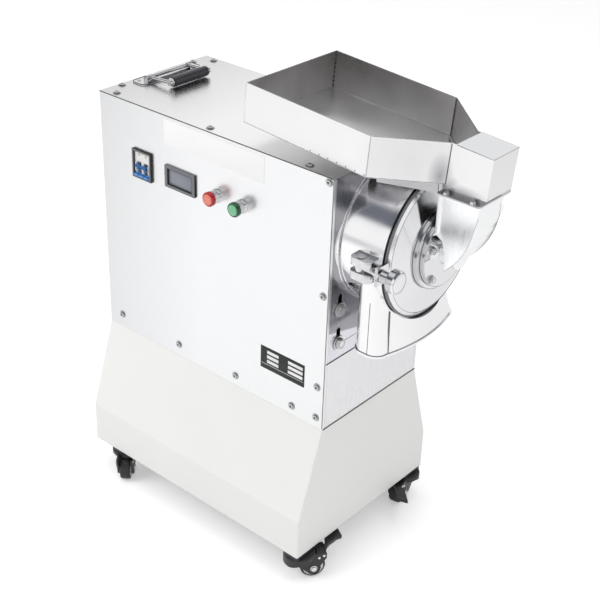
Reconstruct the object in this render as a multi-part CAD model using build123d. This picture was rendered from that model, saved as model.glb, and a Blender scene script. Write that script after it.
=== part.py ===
from build123d import *
import os
from math import asin, cos, radians, sin

# Continuous-feed pulverising mill in a stainless cabinet on a flared, painted base with casters.
# A belt-driven hammer rotor turns in a round drum on the cabinet's end. Material slides from a
# tilted tray down an elbow through the middle of the drum's door, and falls out of a chute.
#
# Axes: +X out of the drum's end, -Y out of the control panel, +Z up. Millimetres.
# While the pieces are made, x = 0 is the mill face of the cabinet, y = 0 is its middle plane and
# z = 0 is the floor. write_parts() then moves x = 0 to the middle of the whole length.

# ---- cabinet, base and casters -------------------------------------------------------------
CABINET_LENGTH = 570.0
CABINET_WIDTH = 285.0
CABINET_HEIGHT = 500.0
BASE_WIDTH = 400.0
BASE_HEIGHT = 270.0
SKIRT_HEIGHT = 86.5
CASTER_HEIGHT = 69.0
SHEET = 1.5
BASE_SHEET = 2.0
SEAM = 0.5

BASE_BOTTOM = CASTER_HEIGHT
SKIRT_TOP = BASE_BOTTOM + SKIRT_HEIGHT
CABINET_BOTTOM = BASE_BOTTOM + BASE_HEIGHT
CABINET_TOP = CABINET_BOTTOM + CABINET_HEIGHT
HALF_WIDTH = CABINET_WIDTH / 2
REAR_X = -CABINET_LENGTH
FLOOR_PLATE = 4.0
FLOOR_PLATE_TOP = BASE_BOTTOM + FLOOR_PLATE

HEAD_PLATE = 8.0
HEAD_PLATE_BOTTOM = CABINET_BOTTOM + 141.5
EDGE_FOLD = 5.5
PANEL_TOP = CABINET_TOP - SHEET - SEAM

TUBE = 25.0
TUBE_WALL = 2.0

# ---- control panel -------------------------------------------------------------------------
CONTROL_Z = CABINET_TOP - 117.0
BREAKER_X = -456.7
BREAKER_FRAME = (50.0, 57.5, 6.5)
BREAKER_BODY = (41.0, 48.5)
BREAKER_PROUD = 1.0
TOGGLE_OFFSETS = (-9.0, 9.0)
TOGGLE_WIDTH = 10.0
TOGGLE_REACH = 13.0
TOGGLE_DROP = 9.0
METER_X = -356.5
METER_BEZEL = (77.0, 43.5, 4.0)
METER_WINDOW = (64.0, 33.0, 6.0)
METER_BODY = (70.0, 37.0, 40.0)
BUTTON_X = (-265.0, -204.0)
BUTTON_BARREL_RADIUS = 12.5
BUTTON_BARREL_LENGTH = 16.0
BUTTON_THREAD_RADIUS = 11.0
BUTTON_RING_RADIUS = 13.6
BUTTON_RING_LENGTH = 8.5
BUTTON_LENS_RADIUS = 10.4
BUTTON_GAP = 0.2
LABEL = (245.0, 50.0, 0.5)
LABEL_CENTRE = (-275.5, CABINET_TOP - 32.5)
NAMEPLATE = (106.0, 47.0, 0.8)
NAMEPLATE_CENTRE = (-100.0, CABINET_BOTTOM + 95.5)

# ---- fasteners -----------------------------------------------------------------------------
SCREW_HEAD_RADIUS = 5.2
SCREW_HEAD_HEIGHT = 3.4
SCREW_WASHER = (7.5, 1.0)
FRONT_SCREWS = ((-534.0, 27.0), (-370.0, 25.0), (-217.0, 21.0), (-75.0, 19.0), (-17.0, 21.0),
                (-17.0, 87.0), (-13.0, 276.0), (-11.0, 491.0))
TOP_SCREW_ROWS = (-537.0, -294.0, -64.5)
TOP_SCREW_INSET = 13.5
TOP_SIDE_SCREWS = (-94.0, 94.0)
HEAD_BOLT_Y = 110.5
HEAD_BOLT_Z = (CABINET_BOTTOM + 174.5, CABINET_BOTTOM + 242.5)
HEAD_WASHER_RADIUS = 13.5
HEAD_HEXAGON = 10.0
HEAD_SLOT = (11.0, 36.0)
HEAD_SLOT_RISE = 12.5

# ---- drum ----------------------------------------------------------------------------------
AXIS_Z = CABINET_TOP - 132.5
DRUM_FLANGE_RADIUS = 135.0
DRUM_RADIUS = 130.0
DRUM_BORE_RADIUS = 124.0
DRUM_FLANGE = 8.0
DRUM_FRONT = 100.0
SHAFT_HOLE_RADIUS = 22.0
LINER_BORE_RADIUS = 112.0
LINER_SPAN = (10.0, 90.0)
LINER_TEETH = 26
SCREEN_HALF_ANGLE = 50.0
SCREEN_RADIUS = 118.0
SCREEN_SLOTS = 11
SCREEN_SLOT_PITCH = 8.0

# ---- discharge chute -----------------------------------------------------------------------
CHUTE_DEPTH = (37.0, 97.0)
CHUTE_ENDS = (-122.5, 114.6)
CHUTE_LEAN = 0.45
CHUTE_CORNER = 24.0
CHUTE_BOW = 14.0
CHUTE_WALL = 2.0
CHUTE_BOTTOM = CABINET_BOTTOM + 183.0
CHUTE_RIM = 4.0
CHUTE_TOP = AXIS_Z - 42.0
OUTLET_ARC = (-136.0, -55.0)

# ---- door, hub and feed elbow --------------------------------------------------------------
DOOR_BACK = 103.0
DOOR_RADIUS = 133.0
DOOR_EDGE = 104.5
DOOR_SHOULDER = (110.0, 123.0)
DOOR_FRONT = 118.0
DOOR_BOSS_RADIUS = 79.0
STRAP_FRONT = 109.0
GASKET_RADII = (125.0, 130.0)
GASKET_GROOVE = 2.0
GASKET_PROUD = 2.8
GASKET_GAP = 0.1
THROAT_RADIUS = 22.0
HUB_RADIUS = 74.4
HUB_FRONT = 127.0
COLLAR_RADIUS = 66.5
COLLAR_FRONT = 136.0
HUB_BOLTS = ((45.5, 15.5), (40.0, -41.0))
ELBOW_HALF_WIDTH = 37.5
ELBOW_WALL = 2.5
ELBOW_TOP = CABINET_BOTTOM + 482.0
ELBOW_BOTTOM = AXIS_Z - 18.5
ELBOW_SET_BACK = ((0.0, 748.0), (12.0, 741.0), (21.0, 712.0))
NECK_RADIUS = 25.0
NECK_LENGTH = 30.0
ELBOW_OUTER_TOP = 211.5
ELBOW_BACK_PLATE = (3.0, 43.0, AXIS_Z + 45.0)
ELBOW_SLEEVE = 17.5
ELBOW_BEND_TOP = (205.5, CABINET_BOTTOM + 440.0)
ELBOW_BEND_MIDDLE = (182.5, CABINET_BOTTOM + 379.0)

# ---- hopper, in its own tilted frame: u along the rim, v across, w up ------------------------
HOPPER_TILT = 4.03
HOPPER_ORIGIN = (-217.2, 0.0, CABINET_BOTTOM + 601.6)
TRAY_LENGTH = 267.8
TRAY_HALF_WIDTH = 120.15
FUNNEL_END = 366.3
SPOUT_END = 445.7
SPOUT_HALF_WIDTH = 36.8
HOPPER_DEPTH = 73.0
COVER_START = 375.0

# ---- saddle between the hopper and the elbow, in the machine's own frame ---------------------
OUTLET_SPAN = (143.0, 203.0)
OUTLET_HALF_WIDTH = 28.0
FLANGE_SPAN = (132.0, 214.5)
FLANGE_REACH = (-43.5, 56.0)
FLANGE_PLATE = 2.5
NECK_START = 134.0
NECK_END = 208.0
NECK_HALF_WIDTH = 31.0
LIP_START = (58.0, CABINET_TOP + 3.0)
LIP_INSET = 0.6
LIP = 2.0
FLANGE_BOLTS = ((147.5, 38.0), (199.0, 38.0))

# ---- door hinge and clamp ------------------------------------------------------------------
HINGE_X = 98.0
HINGE_Y = 147.5
HINGE_PIN_RADIUS = 6.0
KNUCKLE_RADIUS = 11.0
HINGE_MIDDLE = AXIS_Z + 35.0
FIXED_KNUCKLE = (52.0, 70.0)
DOOR_KNUCKLE = (28.0, 51.0)
RUNNING_GAP = 0.05
CLAMP_PIN_X = 66.0
CLAMP_Y = -146.0
CLAMP_Z = AXIS_Z - 3.0
CLAMP_PIN_RADIUS = 4.0
CLAMP_GAP = 11.0
LUG_PLATE = 14.0
LUG_SPAN = (48.0, 92.0)
LUG_OUTER_Y = -158.0
BOLT_RADIUS = 5.0
BOLT_END = 138.0
KNOB_NECK = (110.5, 128.0)
KNOB_END = 146.0
KNOB_NECK_RADIUS = 11.0
KNOB_RADIUS = 20.5
DOOR_LUG_TIP = -157.0
DOOR_LUG_FRONT = 108.5
DOOR_LUG_HALF_HEIGHT = 17.0
DOOR_LUG_SLOT = 11.0

# ---- rotor, bearings and drive -------------------------------------------------------------
SHAFT_RADIUS = 17.5
SHAFT_END_RADIUS = 14.0
ROTOR_SEAT_RADIUS = 15.0
ROTOR_DISC_RADIUS = 100.0
ROTOR_DISC = (22.0, 30.0)
ROTOR_HUB = (14.0, 50.0)
ROTOR_HUB_RADIUS = 30.0
HAMMERS = 6
HAMMER_RADII = (55.0, 108.0)
HAMMER_THICKNESS = 12.0
HAMMER_END = 82.0
HOUSING_RADIUS = 62.0
HOUSING_FLANGE_RADIUS = 90.0
HOUSING_REAR = -160.0
BEARING_RADIUS = 40.0
BEARING_SPANS = ((-32.0, -10.0), (-158.0, -138.0))
PULLEY_SPAN = (-208.0, -168.0)
DRIVEN_PULLEY_RADIUS = 60.0
DRIVE_PULLEY_RADIUS = 90.0
GROOVES = 3
GROOVE_WIDTH = 11.0
GROOVE_DEPTH = 12.0
BELT_WIDTH = 10.0
BELT_THICKNESS = 9.0
BELT_PROUD = 1.0
MOTOR_AXIS_Z = FLOOR_PLATE_TOP + 100.0
MOTOR_FRONT = -232.0
MOTOR_LENGTH = 288.0
MOTOR_RADIUS = 80.0
MOTOR_FIN_RADIUS = 92.0
MOTOR_FINS = 28

# ---- carrying handle on the top ------------------------------------------------------------
HANDLE_Y = 8.0
HANDLE_PLATE = (34.0, 156.0, 2.0)
HANDLE_PLATE_X = -545.0
HANDLE_PIVOT_X = -541.0
HANDLE_PIVOT_Z = CABINET_TOP + 8.0
HANDLE_PIVOT_HALF = 57.0
HANDLE_ARM = 57.0
HANDLE_ARM_RADIUS = 3.5
GRIP_HALF = 46.0
GRIP_RADIUS = 10.0
GRIP_LIFT = 3.5

# ---- mains cable gland ---------------------------------------------------------------------
GLAND_Y = -80.0
GLAND_Z = CABINET_BOTTOM + 40.0
GLAND_BORE_RADIUS = 6.5
GLAND_THREAD_RADIUS = 10.0
GLAND_REACH = 24.0

# ---- casters -------------------------------------------------------------------------------
CASTER_SIDE_INSET = 29.0
CASTER_FRONT_X = -19.0
CASTER_REAR_X = -506.0
CASTER_TRAIL = 26.0
WHEEL_RADIUS = 25.0
WHEEL_HALF_WIDTH = 11.0
AXLE_RADIUS = 4.0
FORK_GAP = 2.2
FORK_LEG = 4.0
FORK_HEAD_RADIUS = 31.0
FORK_HEAD = (51.5, 60.5)
FORK_NOSE_BOTTOM = 40.0
FORK_TIP_RADIUS = 14.0
KINGPIN_RADIUS = 6.0
CASTER_PLATE = (37.0, 56.0, 8.0)
PEDAL_PIVOT = (38.0, 56.0)
PEDAL_PIN_RADIUS = 2.0
PEDAL_TREAD = [(50, -10), (56, 2), (63, 10), (80, 22), (92, 26), (89, 51), (57, 27), (53.5, 10),
               (50, 10)]
PEDAL_TOP = 61.0
PEDAL_WALL = 2.5
PEDAL_DEPTH = 7.0
CASTER_Y = BASE_WIDTH / 2 - CASTER_SIDE_INSET
# corner: (x, y, heading of the trailing wheel in degrees from +X, has a brake pedal)
CASTERS = {
    "front_right": (CASTER_FRONT_X, -CASTER_Y, 54.0, True),
    "front_left": (CASTER_REAR_X, -CASTER_Y, -50.0, False),
    "back_right": (CASTER_FRONT_X, CASTER_Y, -80.0, True),
    "back_left": (CASTER_REAR_X, CASTER_Y, 50.0, False),
}


# ---- shapes used by several pieces ---------------------------------------------------------

def block(x0, x1, y0, y1, z0, z1):
    """Box between two limits on each axis."""
    centre = Pos((x0 + x1) / 2, (y0 + y1) / 2, (z0 + z1) / 2)
    return centre * Box(x1 - x0, y1 - y0, z1 - z0)


def rod_x(radius, x0, x1, y=0.0, z=AXIS_Z):
    return Pos((x0 + x1) / 2, y, z) * Rot(0, 90, 0) * Cylinder(radius, x1 - x0)


def rod_y(radius, y0, y1, x, z):
    return Pos(x, (y0 + y1) / 2, z) * Rot(90, 0, 0) * Cylinder(radius, y1 - y0)


def rod_z(radius, z0, z1, x, y):
    return Pos(x, y, (z0 + z1) / 2) * Cylinder(radius, z1 - z0)


def turned(points, y=0.0, z=AXIS_Z):
    """Solid turned about an axis along X, from a closed outline of (x, radius) points."""
    outline = Polyline([(x, y, z + radius) for x, radius in points], close=True)
    return revolve(make_face(outline), Axis((0, y, z), (1, 0, 0)), 360)


def around_drum(shape, angle):
    """Turn a shape about the drum's axis, counter-clockwise seen from the door."""
    return Pos(0, 0, AXIS_Z) * Rot(angle, 0, 0) * Pos(0, 0, -AXIS_Z) * shape


def drum_sector(inner, outer, x0, x1, middle, half):
    """Part of a ring about the drum's axis; angles in degrees from +Y towards +Z."""
    ring = rod_x(outer, x0, x1) - rod_x(inner, x0 - 1, x1 + 1)
    reach = 3 * outer
    corners = [(x0, 0, AXIS_Z)]
    for step in (-1.0, -0.5, 0.0, 0.5, 1.0):
        angle = radians(middle + step * half)
        corners.append((x0, reach * cos(angle), AXIS_Z + reach * sin(angle)))
    wedge = extrude(make_face(Polyline(corners, close=True)), amount=x1 - x0, dir=(1, 0, 0))
    return ring & wedge


def hexagon_x(radius, x0, x1, y, z):
    """Hexagonal bolt head or nut along X, measured to its corners."""
    face = Plane((x0, y, z), x_dir=(0, 1, 0), z_dir=(1, 0, 0)) * RegularPolygon(radius, 6)
    return extrude(face, amount=x1 - x0)


def rounded_plate(x0, x1, y0, y1, z0, z1, corner):
    """Flat plate along the floor with round corners."""
    face = Pos((x0 + x1) / 2, (y0 + y1) / 2, z0) * RectangleRounded(x1 - x0, y1 - y0, corner)
    return extrude(face, amount=z1 - z0)


def pan_screw(place):
    """Pan head on a washer, with a cross recess, standing on the XY plane of the location."""
    radius, thickness = SCREW_WASHER
    head = Pos(0, 0, SCREW_HEAD_HEIGHT / 2) * Cylinder(SCREW_HEAD_RADIUS, SCREW_HEAD_HEIGHT)
    head = fillet(head.edges().group_by(Axis.Z)[-1], 1.4)
    head += Pos(0, 0, thickness / 2) * Cylinder(radius, thickness)
    recess = Box(6.0, 1.3, 2.4) + Box(1.3, 6.0, 2.4)
    return place * (head - Pos(0, 0, SCREW_HEAD_HEIGHT) * recess)


def on_hopper(shape):
    """Place a shape drawn in the hopper's own (u, v, w) frame."""
    return Pos(*HOPPER_ORIGIN) * Rot(0, HOPPER_TILT, 0) * shape


def group(shapes):
    """Separate solids that share one node."""
    return Compound(children=[solid for shape in shapes for solid in shape.solids()])


# ---- base ----------------------------------------------------------------------------------

def base_prism(inset, x0, x1, top):
    """Flared outline of the base, moved in by the sheet's thickness, as a solid along X."""
    bottom_half = BASE_WIDTH / 2 - inset
    top_half = HALF_WIDTH - inset
    outline = [(-bottom_half, BASE_BOTTOM), (bottom_half, BASE_BOTTOM), (bottom_half, SKIRT_TOP),
               (top_half, top), (-top_half, top), (-bottom_half, SKIRT_TOP)]
    face = make_face(Polyline([(x0, y, z) for y, z in outline], close=True))
    return extrude(face, amount=x1 - x0, dir=(1, 0, 0))


def base_shell():
    skin = base_prism(0, REAR_X, 0, CABINET_BOTTOM)
    inside = base_prism(BASE_SHEET, REAR_X + BASE_SHEET, -BASE_SHEET, CABINET_BOTTOM - BASE_SHEET)
    belt_opening = block(REAR_X + 30, -30, -110, 110, CABINET_BOTTOM - 10, CABINET_BOTTOM + 1)
    return skin - inside - belt_opening


def base_floor():
    half = BASE_WIDTH / 2 - BASE_SHEET
    plate = block(REAR_X + BASE_SHEET, -BASE_SHEET, -half, half, BASE_BOTTOM, FLOOR_PLATE_TOP)
    for x, y, _, _ in CASTERS.values():
        plate -= rod_z(KINGPIN_RADIUS, BASE_BOTTOM - 1, FLOOR_PLATE_TOP + 1, x, y)
    return plate


def caster_plates():
    """Each caster's mounting plate with its four screws and its kingpin."""
    plates = []
    length, width, thickness = CASTER_PLATE
    for x, y, _, _ in CASTERS.values():
        plate = rounded_plate(x - length / 2, x + length / 2, y - width / 2, y + width / 2,
                              BASE_BOTTOM - thickness, BASE_BOTTOM, 6)
        plate += rod_z(KINGPIN_RADIUS, 46.0, FLOOR_PLATE_TOP, x, y)
        plate += rod_z(9.0, 45.5, FORK_HEAD[0] - 0.5, x, y)
        plates.append(plate)
    return group(plates)


# ---- cabinet -------------------------------------------------------------------------------

def square_tube(length):
    """Tube along +X from the origin, open at both ends."""
    outer = Pos(length / 2, 0, 0) * Box(length, TUBE, TUBE)
    inner = Pos(length / 2, 0, 0) * Box(length + 2, TUBE - 2 * TUBE_WALL, TUBE - 2 * TUBE_WALL)
    return outer - inner


def inner_frame():
    """Welded square tubes that the cabinet's panels screw to: four posts and their rails."""
    rear = REAR_X + SHEET + TUBE / 2
    front = -60.0 + TUBE / 2
    side = HALF_WIDTH - SHEET - TUBE / 2
    low = CABINET_BOTTOM
    high = PANEL_TOP
    tubes = []
    for x in (rear, front):
        for y in (-side, side):
            tubes.append(Pos(x, y, low) * Rot(0, -90, 0) * square_tube(high - low))
    for z in (low + TUBE / 2, high - TUBE / 2):
        for y in (-side, side):
            run = front - rear - TUBE
            tubes.append(Pos(rear + TUBE / 2, y, z) * square_tube(run))
        run = 2 * side - TUBE
        tubes.append(Pos(rear, -side + TUBE / 2, z) * Rot(0, 0, 90) * square_tube(run))
    return group(tubes)


def side_panel(outward):
    """Front (-1) or back (+1) sheet with its folded edges at both ends."""
    outer = outward * HALF_WIDTH
    inner = outward * (HALF_WIDTH - SHEET)
    fold = outward * (HALF_WIDTH - EDGE_FOLD)
    low, high = sorted((outer, inner))
    panel = block(REAR_X, 0, low, high, CABINET_BOTTOM, PANEL_TOP)
    low, high = sorted((inner, fold))
    panel += block(-SHEET, 0, low, high, CABINET_BOTTOM, PANEL_TOP)
    panel += block(REAR_X, REAR_X + SHEET, low, high, CABINET_BOTTOM, PANEL_TOP)
    return panel


def front_panel():
    """Control panel, cut out for the breaker, the meter and the two push buttons."""
    panel = side_panel(-1)
    outside = -HALF_WIDTH - 5
    inside = -HALF_WIDTH + 3
    width, height = BREAKER_BODY
    panel -= block(BREAKER_X - width / 2, BREAKER_X + width / 2, outside, inside,
                   CONTROL_Z - height / 2, CONTROL_Z + height / 2)
    width, height, _ = METER_BODY
    panel -= block(METER_X - width / 2, METER_X + width / 2, outside, inside,
                   CONTROL_Z - height / 2, CONTROL_Z + height / 2)
    for x in BUTTON_X:
        panel -= rod_y(BUTTON_THREAD_RADIUS, outside, inside, x, CONTROL_Z)
    return panel


def back_panel():
    return side_panel(1)


def rear_panel():
    """End sheet away from the mill, with cooling louvres and the hole for the cable gland."""
    half = HALF_WIDTH - EDGE_FOLD - SEAM
    panel = block(REAR_X, REAR_X + SHEET, -half, half, CABINET_BOTTOM, PANEL_TOP)
    slot_length = 120.0
    for row in range(9):
        z = CABINET_BOTTOM + 300 + 16 * row
        panel -= block(REAR_X - 1, REAR_X + 3, -slot_length / 2, slot_length / 2, z - 2.5, z + 2.5)
    panel -= rod_x(GLAND_THREAD_RADIUS, REAR_X - 1, REAR_X + 3, GLAND_Y, GLAND_Z)
    return panel


def top_panel():
    return block(REAR_X, 0, -HALF_WIDTH, HALF_WIDTH, CABINET_TOP - SHEET, CABINET_TOP)


def head_plate():
    """Thick plate that carries the drum and the bearings, hung on four slotted bolts."""
    half = HALF_WIDTH - EDGE_FOLD - SEAM
    plate = block(-HEAD_PLATE, 0, -half, half, HEAD_PLATE_BOTTOM, PANEL_TOP)
    plate -= rod_x(SHAFT_HOLE_RADIUS, -HEAD_PLATE - 1, 1)
    width, length = HEAD_SLOT
    slot = Plane.YZ * SlotOverall(length, width, rotation=90)
    for y in (-HEAD_BOLT_Y, HEAD_BOLT_Y):
        for z in HEAD_BOLT_Z:
            plate -= Pos(-HEAD_PLATE - 1, y, z + HEAD_SLOT_RISE) * extrude(slot, amount=HEAD_PLATE + 2)
    return plate


def lower_end_panel():
    half = HALF_WIDTH - EDGE_FOLD - SEAM
    return block(-SHEET, 0, -half, half, CABINET_BOTTOM, HEAD_PLATE_BOTTOM - SEAM)


def panel_screws():
    """Pan-head screws of the side, top and rear sheets."""
    screws = []
    for x, height in FRONT_SCREWS:
        z = CABINET_BOTTOM + height
        screws.append(pan_screw(Pos(x, -HALF_WIDTH, z) * Rot(90, 0, 0)))
        screws.append(pan_screw(Pos(x, HALF_WIDTH, z) * Rot(-90, 0, 0)))
    for y in (-HALF_WIDTH + TOP_SCREW_INSET, HALF_WIDTH - TOP_SCREW_INSET):
        for x in TOP_SCREW_ROWS:
            screws.append(pan_screw(Pos(x, y, CABINET_TOP)))
    for y in TOP_SIDE_SCREWS:
        screws.append(pan_screw(Pos(REAR_X + 9.0, y, CABINET_TOP)))
    for y in (-125.0, 125.0):
        for height in (30.0, 250.0, 470.0):
            place = Pos(REAR_X, y, CABINET_BOTTOM + height) * Rot(0, -90, 0)
            screws.append(pan_screw(place))
    return group(screws)


def head_bolts():
    """Hexagon bolts, washers and nuts that hold the head plate at its belt-tension height."""
    bolts = []
    for y in (-HEAD_BOLT_Y, HEAD_BOLT_Y):
        for z in HEAD_BOLT_Z:
            bolt = rod_x(HEAD_WASHER_RADIUS, 0, 2.0, y, z)
            bolt += hexagon_x(HEAD_HEXAGON, 2.0, 9.0, y, z)
            bolt += rod_x(5.0, -26.0, 0, y, z)
            bolt += hexagon_x(HEAD_HEXAGON, -18.0, -HEAD_PLATE, y, z)
            bolts.append(bolt)
    return group(bolts)


def blank_plates():
    """Unprinted label strip above the controls and rating plate in the lower corner."""
    plates = []
    for (x, z), (width, height, depth) in ((LABEL_CENTRE, LABEL), (NAMEPLATE_CENTRE, NAMEPLATE)):
        plates.append(block(x - width / 2, x + width / 2, -HALF_WIDTH - depth, -HALF_WIDTH,
                            z - height / 2, z + height / 2))
    return group(plates)


# ---- controls ------------------------------------------------------------------------------

def breaker_frame():
    """Escutcheon around the two-pole breaker."""
    width, height, depth = BREAKER_FRAME
    body_width, body_height = BREAKER_BODY
    front = -HALF_WIDTH - depth
    frame = block(BREAKER_X - width / 2, BREAKER_X + width / 2, front, -HALF_WIDTH,
                  CONTROL_Z - height / 2, CONTROL_Z + height / 2)
    frame = chamfer(frame.edges().group_by(Axis.Y)[0], 1.5)
    frame -= block(BREAKER_X - body_width / 2, BREAKER_X + body_width / 2, front - 1, 1 - HALF_WIDTH,
                   CONTROL_Z - body_height / 2, CONTROL_Z + body_height / 2)
    return frame


def toggle_axis():
    """Point of the breaker toggle's pivot: (y, z)."""
    return -HALF_WIDTH - BREAKER_PROUD + 4.0, CONTROL_Z - TOGGLE_DROP


def breaker_body():
    width, height = BREAKER_BODY
    body = block(BREAKER_X - width / 2, BREAKER_X + width / 2, -HALF_WIDTH - BREAKER_PROUD, -80,
                 CONTROL_Z - height / 2, CONTROL_Z + height / 2)
    y, z = toggle_axis()
    half = TOGGLE_WIDTH / 2 + 0.4
    for offset in TOGGLE_OFFSETS:
        x = BREAKER_X + offset
        body -= rod_x(TOGGLE_REACH + 1.0, x - half, x + half, y, z)
    body -= rod_x(2.0 + RUNNING_GAP, BREAKER_X + TOGGLE_OFFSETS[0] - 8,
                  BREAKER_X + TOGGLE_OFFSETS[1] + 8, y, z)
    return body


def breaker_toggle():
    """Two levers on one pivot bar, joined by a tie in front of the breaker's face."""
    y, z = toggle_axis()
    pivot_half = TOGGLE_OFFSETS[1] + TOGGLE_WIDTH / 2 + 3.0
    toggle = rod_x(2.0, BREAKER_X - pivot_half, BREAKER_X + pivot_half, y, z)
    lever = Pos(0, -TOGGLE_REACH / 2, 0) * Box(TOGGLE_WIDTH, TOGGLE_REACH, 7.0)
    lever = fillet(lever.edges().filter_by(Axis.X).group_by(Axis.Y)[0], 2.4)
    up = Rot(-35, 0, 0)
    for offset in TOGGLE_OFFSETS:
        toggle += Pos(BREAKER_X + offset, y, z) * up * (lever + Rot(0, 90, 0) * Cylinder(6.0, TOGGLE_WIDTH))
    tie = Pos(0, -TOGGLE_REACH + 2.5, 0) * Box(TOGGLE_OFFSETS[1] - TOGGLE_OFFSETS[0], 4.0, 4.0)
    return toggle + Pos(BREAKER_X, y, z) * up * tie


def panel_meter():
    """Digital meter: bezel, sunk window and the case behind the panel."""
    width, height, depth = METER_BEZEL
    face = -HALF_WIDTH - depth
    meter = block(METER_X - width / 2, METER_X + width / 2, face, -HALF_WIDTH,
                  CONTROL_Z - height / 2, CONTROL_Z + height / 2)
    meter = fillet(meter.edges().filter_by(Axis.Y), 1.5)
    width, height, depth = METER_BODY
    meter += block(METER_X - width / 2, METER_X + width / 2, -HALF_WIDTH, -HALF_WIDTH + depth,
                   CONTROL_Z - height / 2, CONTROL_Z + height / 2)
    width, height, depth = METER_WINDOW
    return meter - block(METER_X - width / 2, METER_X + width / 2, face - 1, face + depth,
                         CONTROL_Z - height / 2, CONTROL_Z + height / 2)


def button_bodies():
    """Plated barrel, coloured ring and lock nut of each push button."""
    pieces = []
    front = -HALF_WIDTH - BUTTON_BARREL_LENGTH
    stem = 5.0 + RUNNING_GAP
    for x in BUTTON_X:
        barrel = rod_y(BUTTON_BARREL_RADIUS, front, -HALF_WIDTH, x, CONTROL_Z)
        barrel += rod_y(BUTTON_THREAD_RADIUS, -HALF_WIDTH, -HALF_WIDTH + 34, x, CONTROL_Z)
        barrel += rod_y(14.5, -HALF_WIDTH + SHEET, -HALF_WIDTH + SHEET + 4, x, CONTROL_Z)
        barrel -= rod_y(stem, front - 1, -HALF_WIDTH + 40, x, CONTROL_Z)
        barrel -= rod_y(BUTTON_LENS_RADIUS + BUTTON_GAP, front - 1, front + 6, x, CONTROL_Z)
        ring = rod_y(BUTTON_RING_RADIUS, front - BUTTON_RING_LENGTH, front, x, CONTROL_Z)
        ring = fillet(ring.edges().group_by(Axis.Y)[0], 1.2)
        ring -= rod_y(BUTTON_LENS_RADIUS + BUTTON_GAP, front - 10, front + 1, x, CONTROL_Z)
        pieces += [barrel, ring]
    return group(pieces)


def push_button(x):
    """Lens and stem; the lens stands a little proud of its ring and travels inwards."""
    front = -HALF_WIDTH - BUTTON_BARREL_LENGTH - BUTTON_RING_LENGTH
    lens = rod_y(BUTTON_LENS_RADIUS, front - 1.5, front + BUTTON_RING_LENGTH + 1, x, CONTROL_Z)
    lens = fillet(lens.edges().group_by(Axis.Y)[0], 1.2)
    return lens + rod_y(5.0, front + BUTTON_RING_LENGTH, -HALF_WIDTH + 30, x, CONTROL_Z)


def cable_gland():
    """Gland body, dome nut and lock nut around one clear bore."""
    face = REAR_X
    gland = rod_x(GLAND_THREAD_RADIUS, face, face + 15, GLAND_Y, GLAND_Z)
    gland += hexagon_x(14.0, face - 7, face, GLAND_Y, GLAND_Z)
    dome = rod_x(11.5, face - GLAND_REACH, face - 7, GLAND_Y, GLAND_Z)
    gland += fillet(dome.edges().group_by(Axis.X)[0], 3.5)
    gland += hexagon_x(14.0, face + SHEET, face + SHEET + 5, GLAND_Y, GLAND_Z)
    return gland - rod_x(GLAND_BORE_RADIUS, face - GLAND_REACH - 1, face + 16, GLAND_Y, GLAND_Z)


# ---- carrying handle -----------------------------------------------------------------------

def handle_plate():
    """Riveted plate with two pivot ears."""
    width, length, thickness = HANDLE_PLATE
    plate = rounded_plate(HANDLE_PLATE_X - width / 2, HANDLE_PLATE_X + width / 2,
                          HANDLE_Y - length / 2, HANDLE_Y + length / 2,
                          CABINET_TOP, CABINET_TOP + thickness, 9)
    for side in (-1, 1):
        y = HANDLE_Y + side * HANDLE_PIVOT_HALF
        ear = rod_y(5.5, y - 3, y + 3, HANDLE_PIVOT_X, HANDLE_PIVOT_Z)
        ear += block(HANDLE_PIVOT_X - 5.5, HANDLE_PIVOT_X + 5.5, y - 3, y + 3,
                     CABINET_TOP + thickness, HANDLE_PIVOT_Z)
        plate += ear - rod_y(2.5 + RUNNING_GAP, y - 4, y + 4, HANDLE_PIVOT_X, HANDLE_PIVOT_Z)
    for step in (-65.0, -32.5, 0.0, 32.5, 65.0):
        rivet = rod_z(3.5, CABINET_TOP + thickness, CABINET_TOP + thickness + 2,
                      HANDLE_PLATE_X - 9, HANDLE_Y + step)
        plate += fillet(rivet.edges().group_by(Axis.Z)[-1], 1.2)
    return plate


def handle_grip_centre():
    """Grip's axis at rest, folded down: (x, z)."""
    return HANDLE_PIVOT_X + HANDLE_ARM, HANDLE_PIVOT_Z + GRIP_LIFT


def handle_arms():
    """Two plated arms with their pivot stubs."""
    grip_x, grip_z = handle_grip_centre()
    arms = []
    for side in (-1, 1):
        pivot_y = HANDLE_Y + side * (HANDLE_PIVOT_HALF - 6.5)
        grip_y = HANDLE_Y + side * GRIP_HALF
        start = Vector(HANDLE_PIVOT_X, pivot_y, HANDLE_PIVOT_Z)
        end = Vector(grip_x, grip_y + side * 3.6, grip_z)
        path = Line(start, end)
        section = Plane(start, z_dir=end - start) * Circle(HANDLE_ARM_RADIUS)
        arm = sweep(section, path)
        arm += rod_y(5.0, pivot_y - 3, pivot_y + 3, HANDLE_PIVOT_X, HANDLE_PIVOT_Z)
        stub_low, stub_high = sorted((pivot_y, HANDLE_Y + side * (HANDLE_PIVOT_HALF + 3)))
        arm += rod_y(2.5, stub_low, stub_high, HANDLE_PIVOT_X, HANDLE_PIVOT_Z)
        cap_low, cap_high = sorted((grip_y, grip_y + side * 7))
        arm += rod_y(6.0, cap_low, cap_high, grip_x, grip_z)
        arms.append(arm)
    arms.append(rod_y(3.0, HANDLE_Y - GRIP_HALF, HANDLE_Y + GRIP_HALF, grip_x, grip_z))
    return arms[0] + arms[1] + arms[2]


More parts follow.
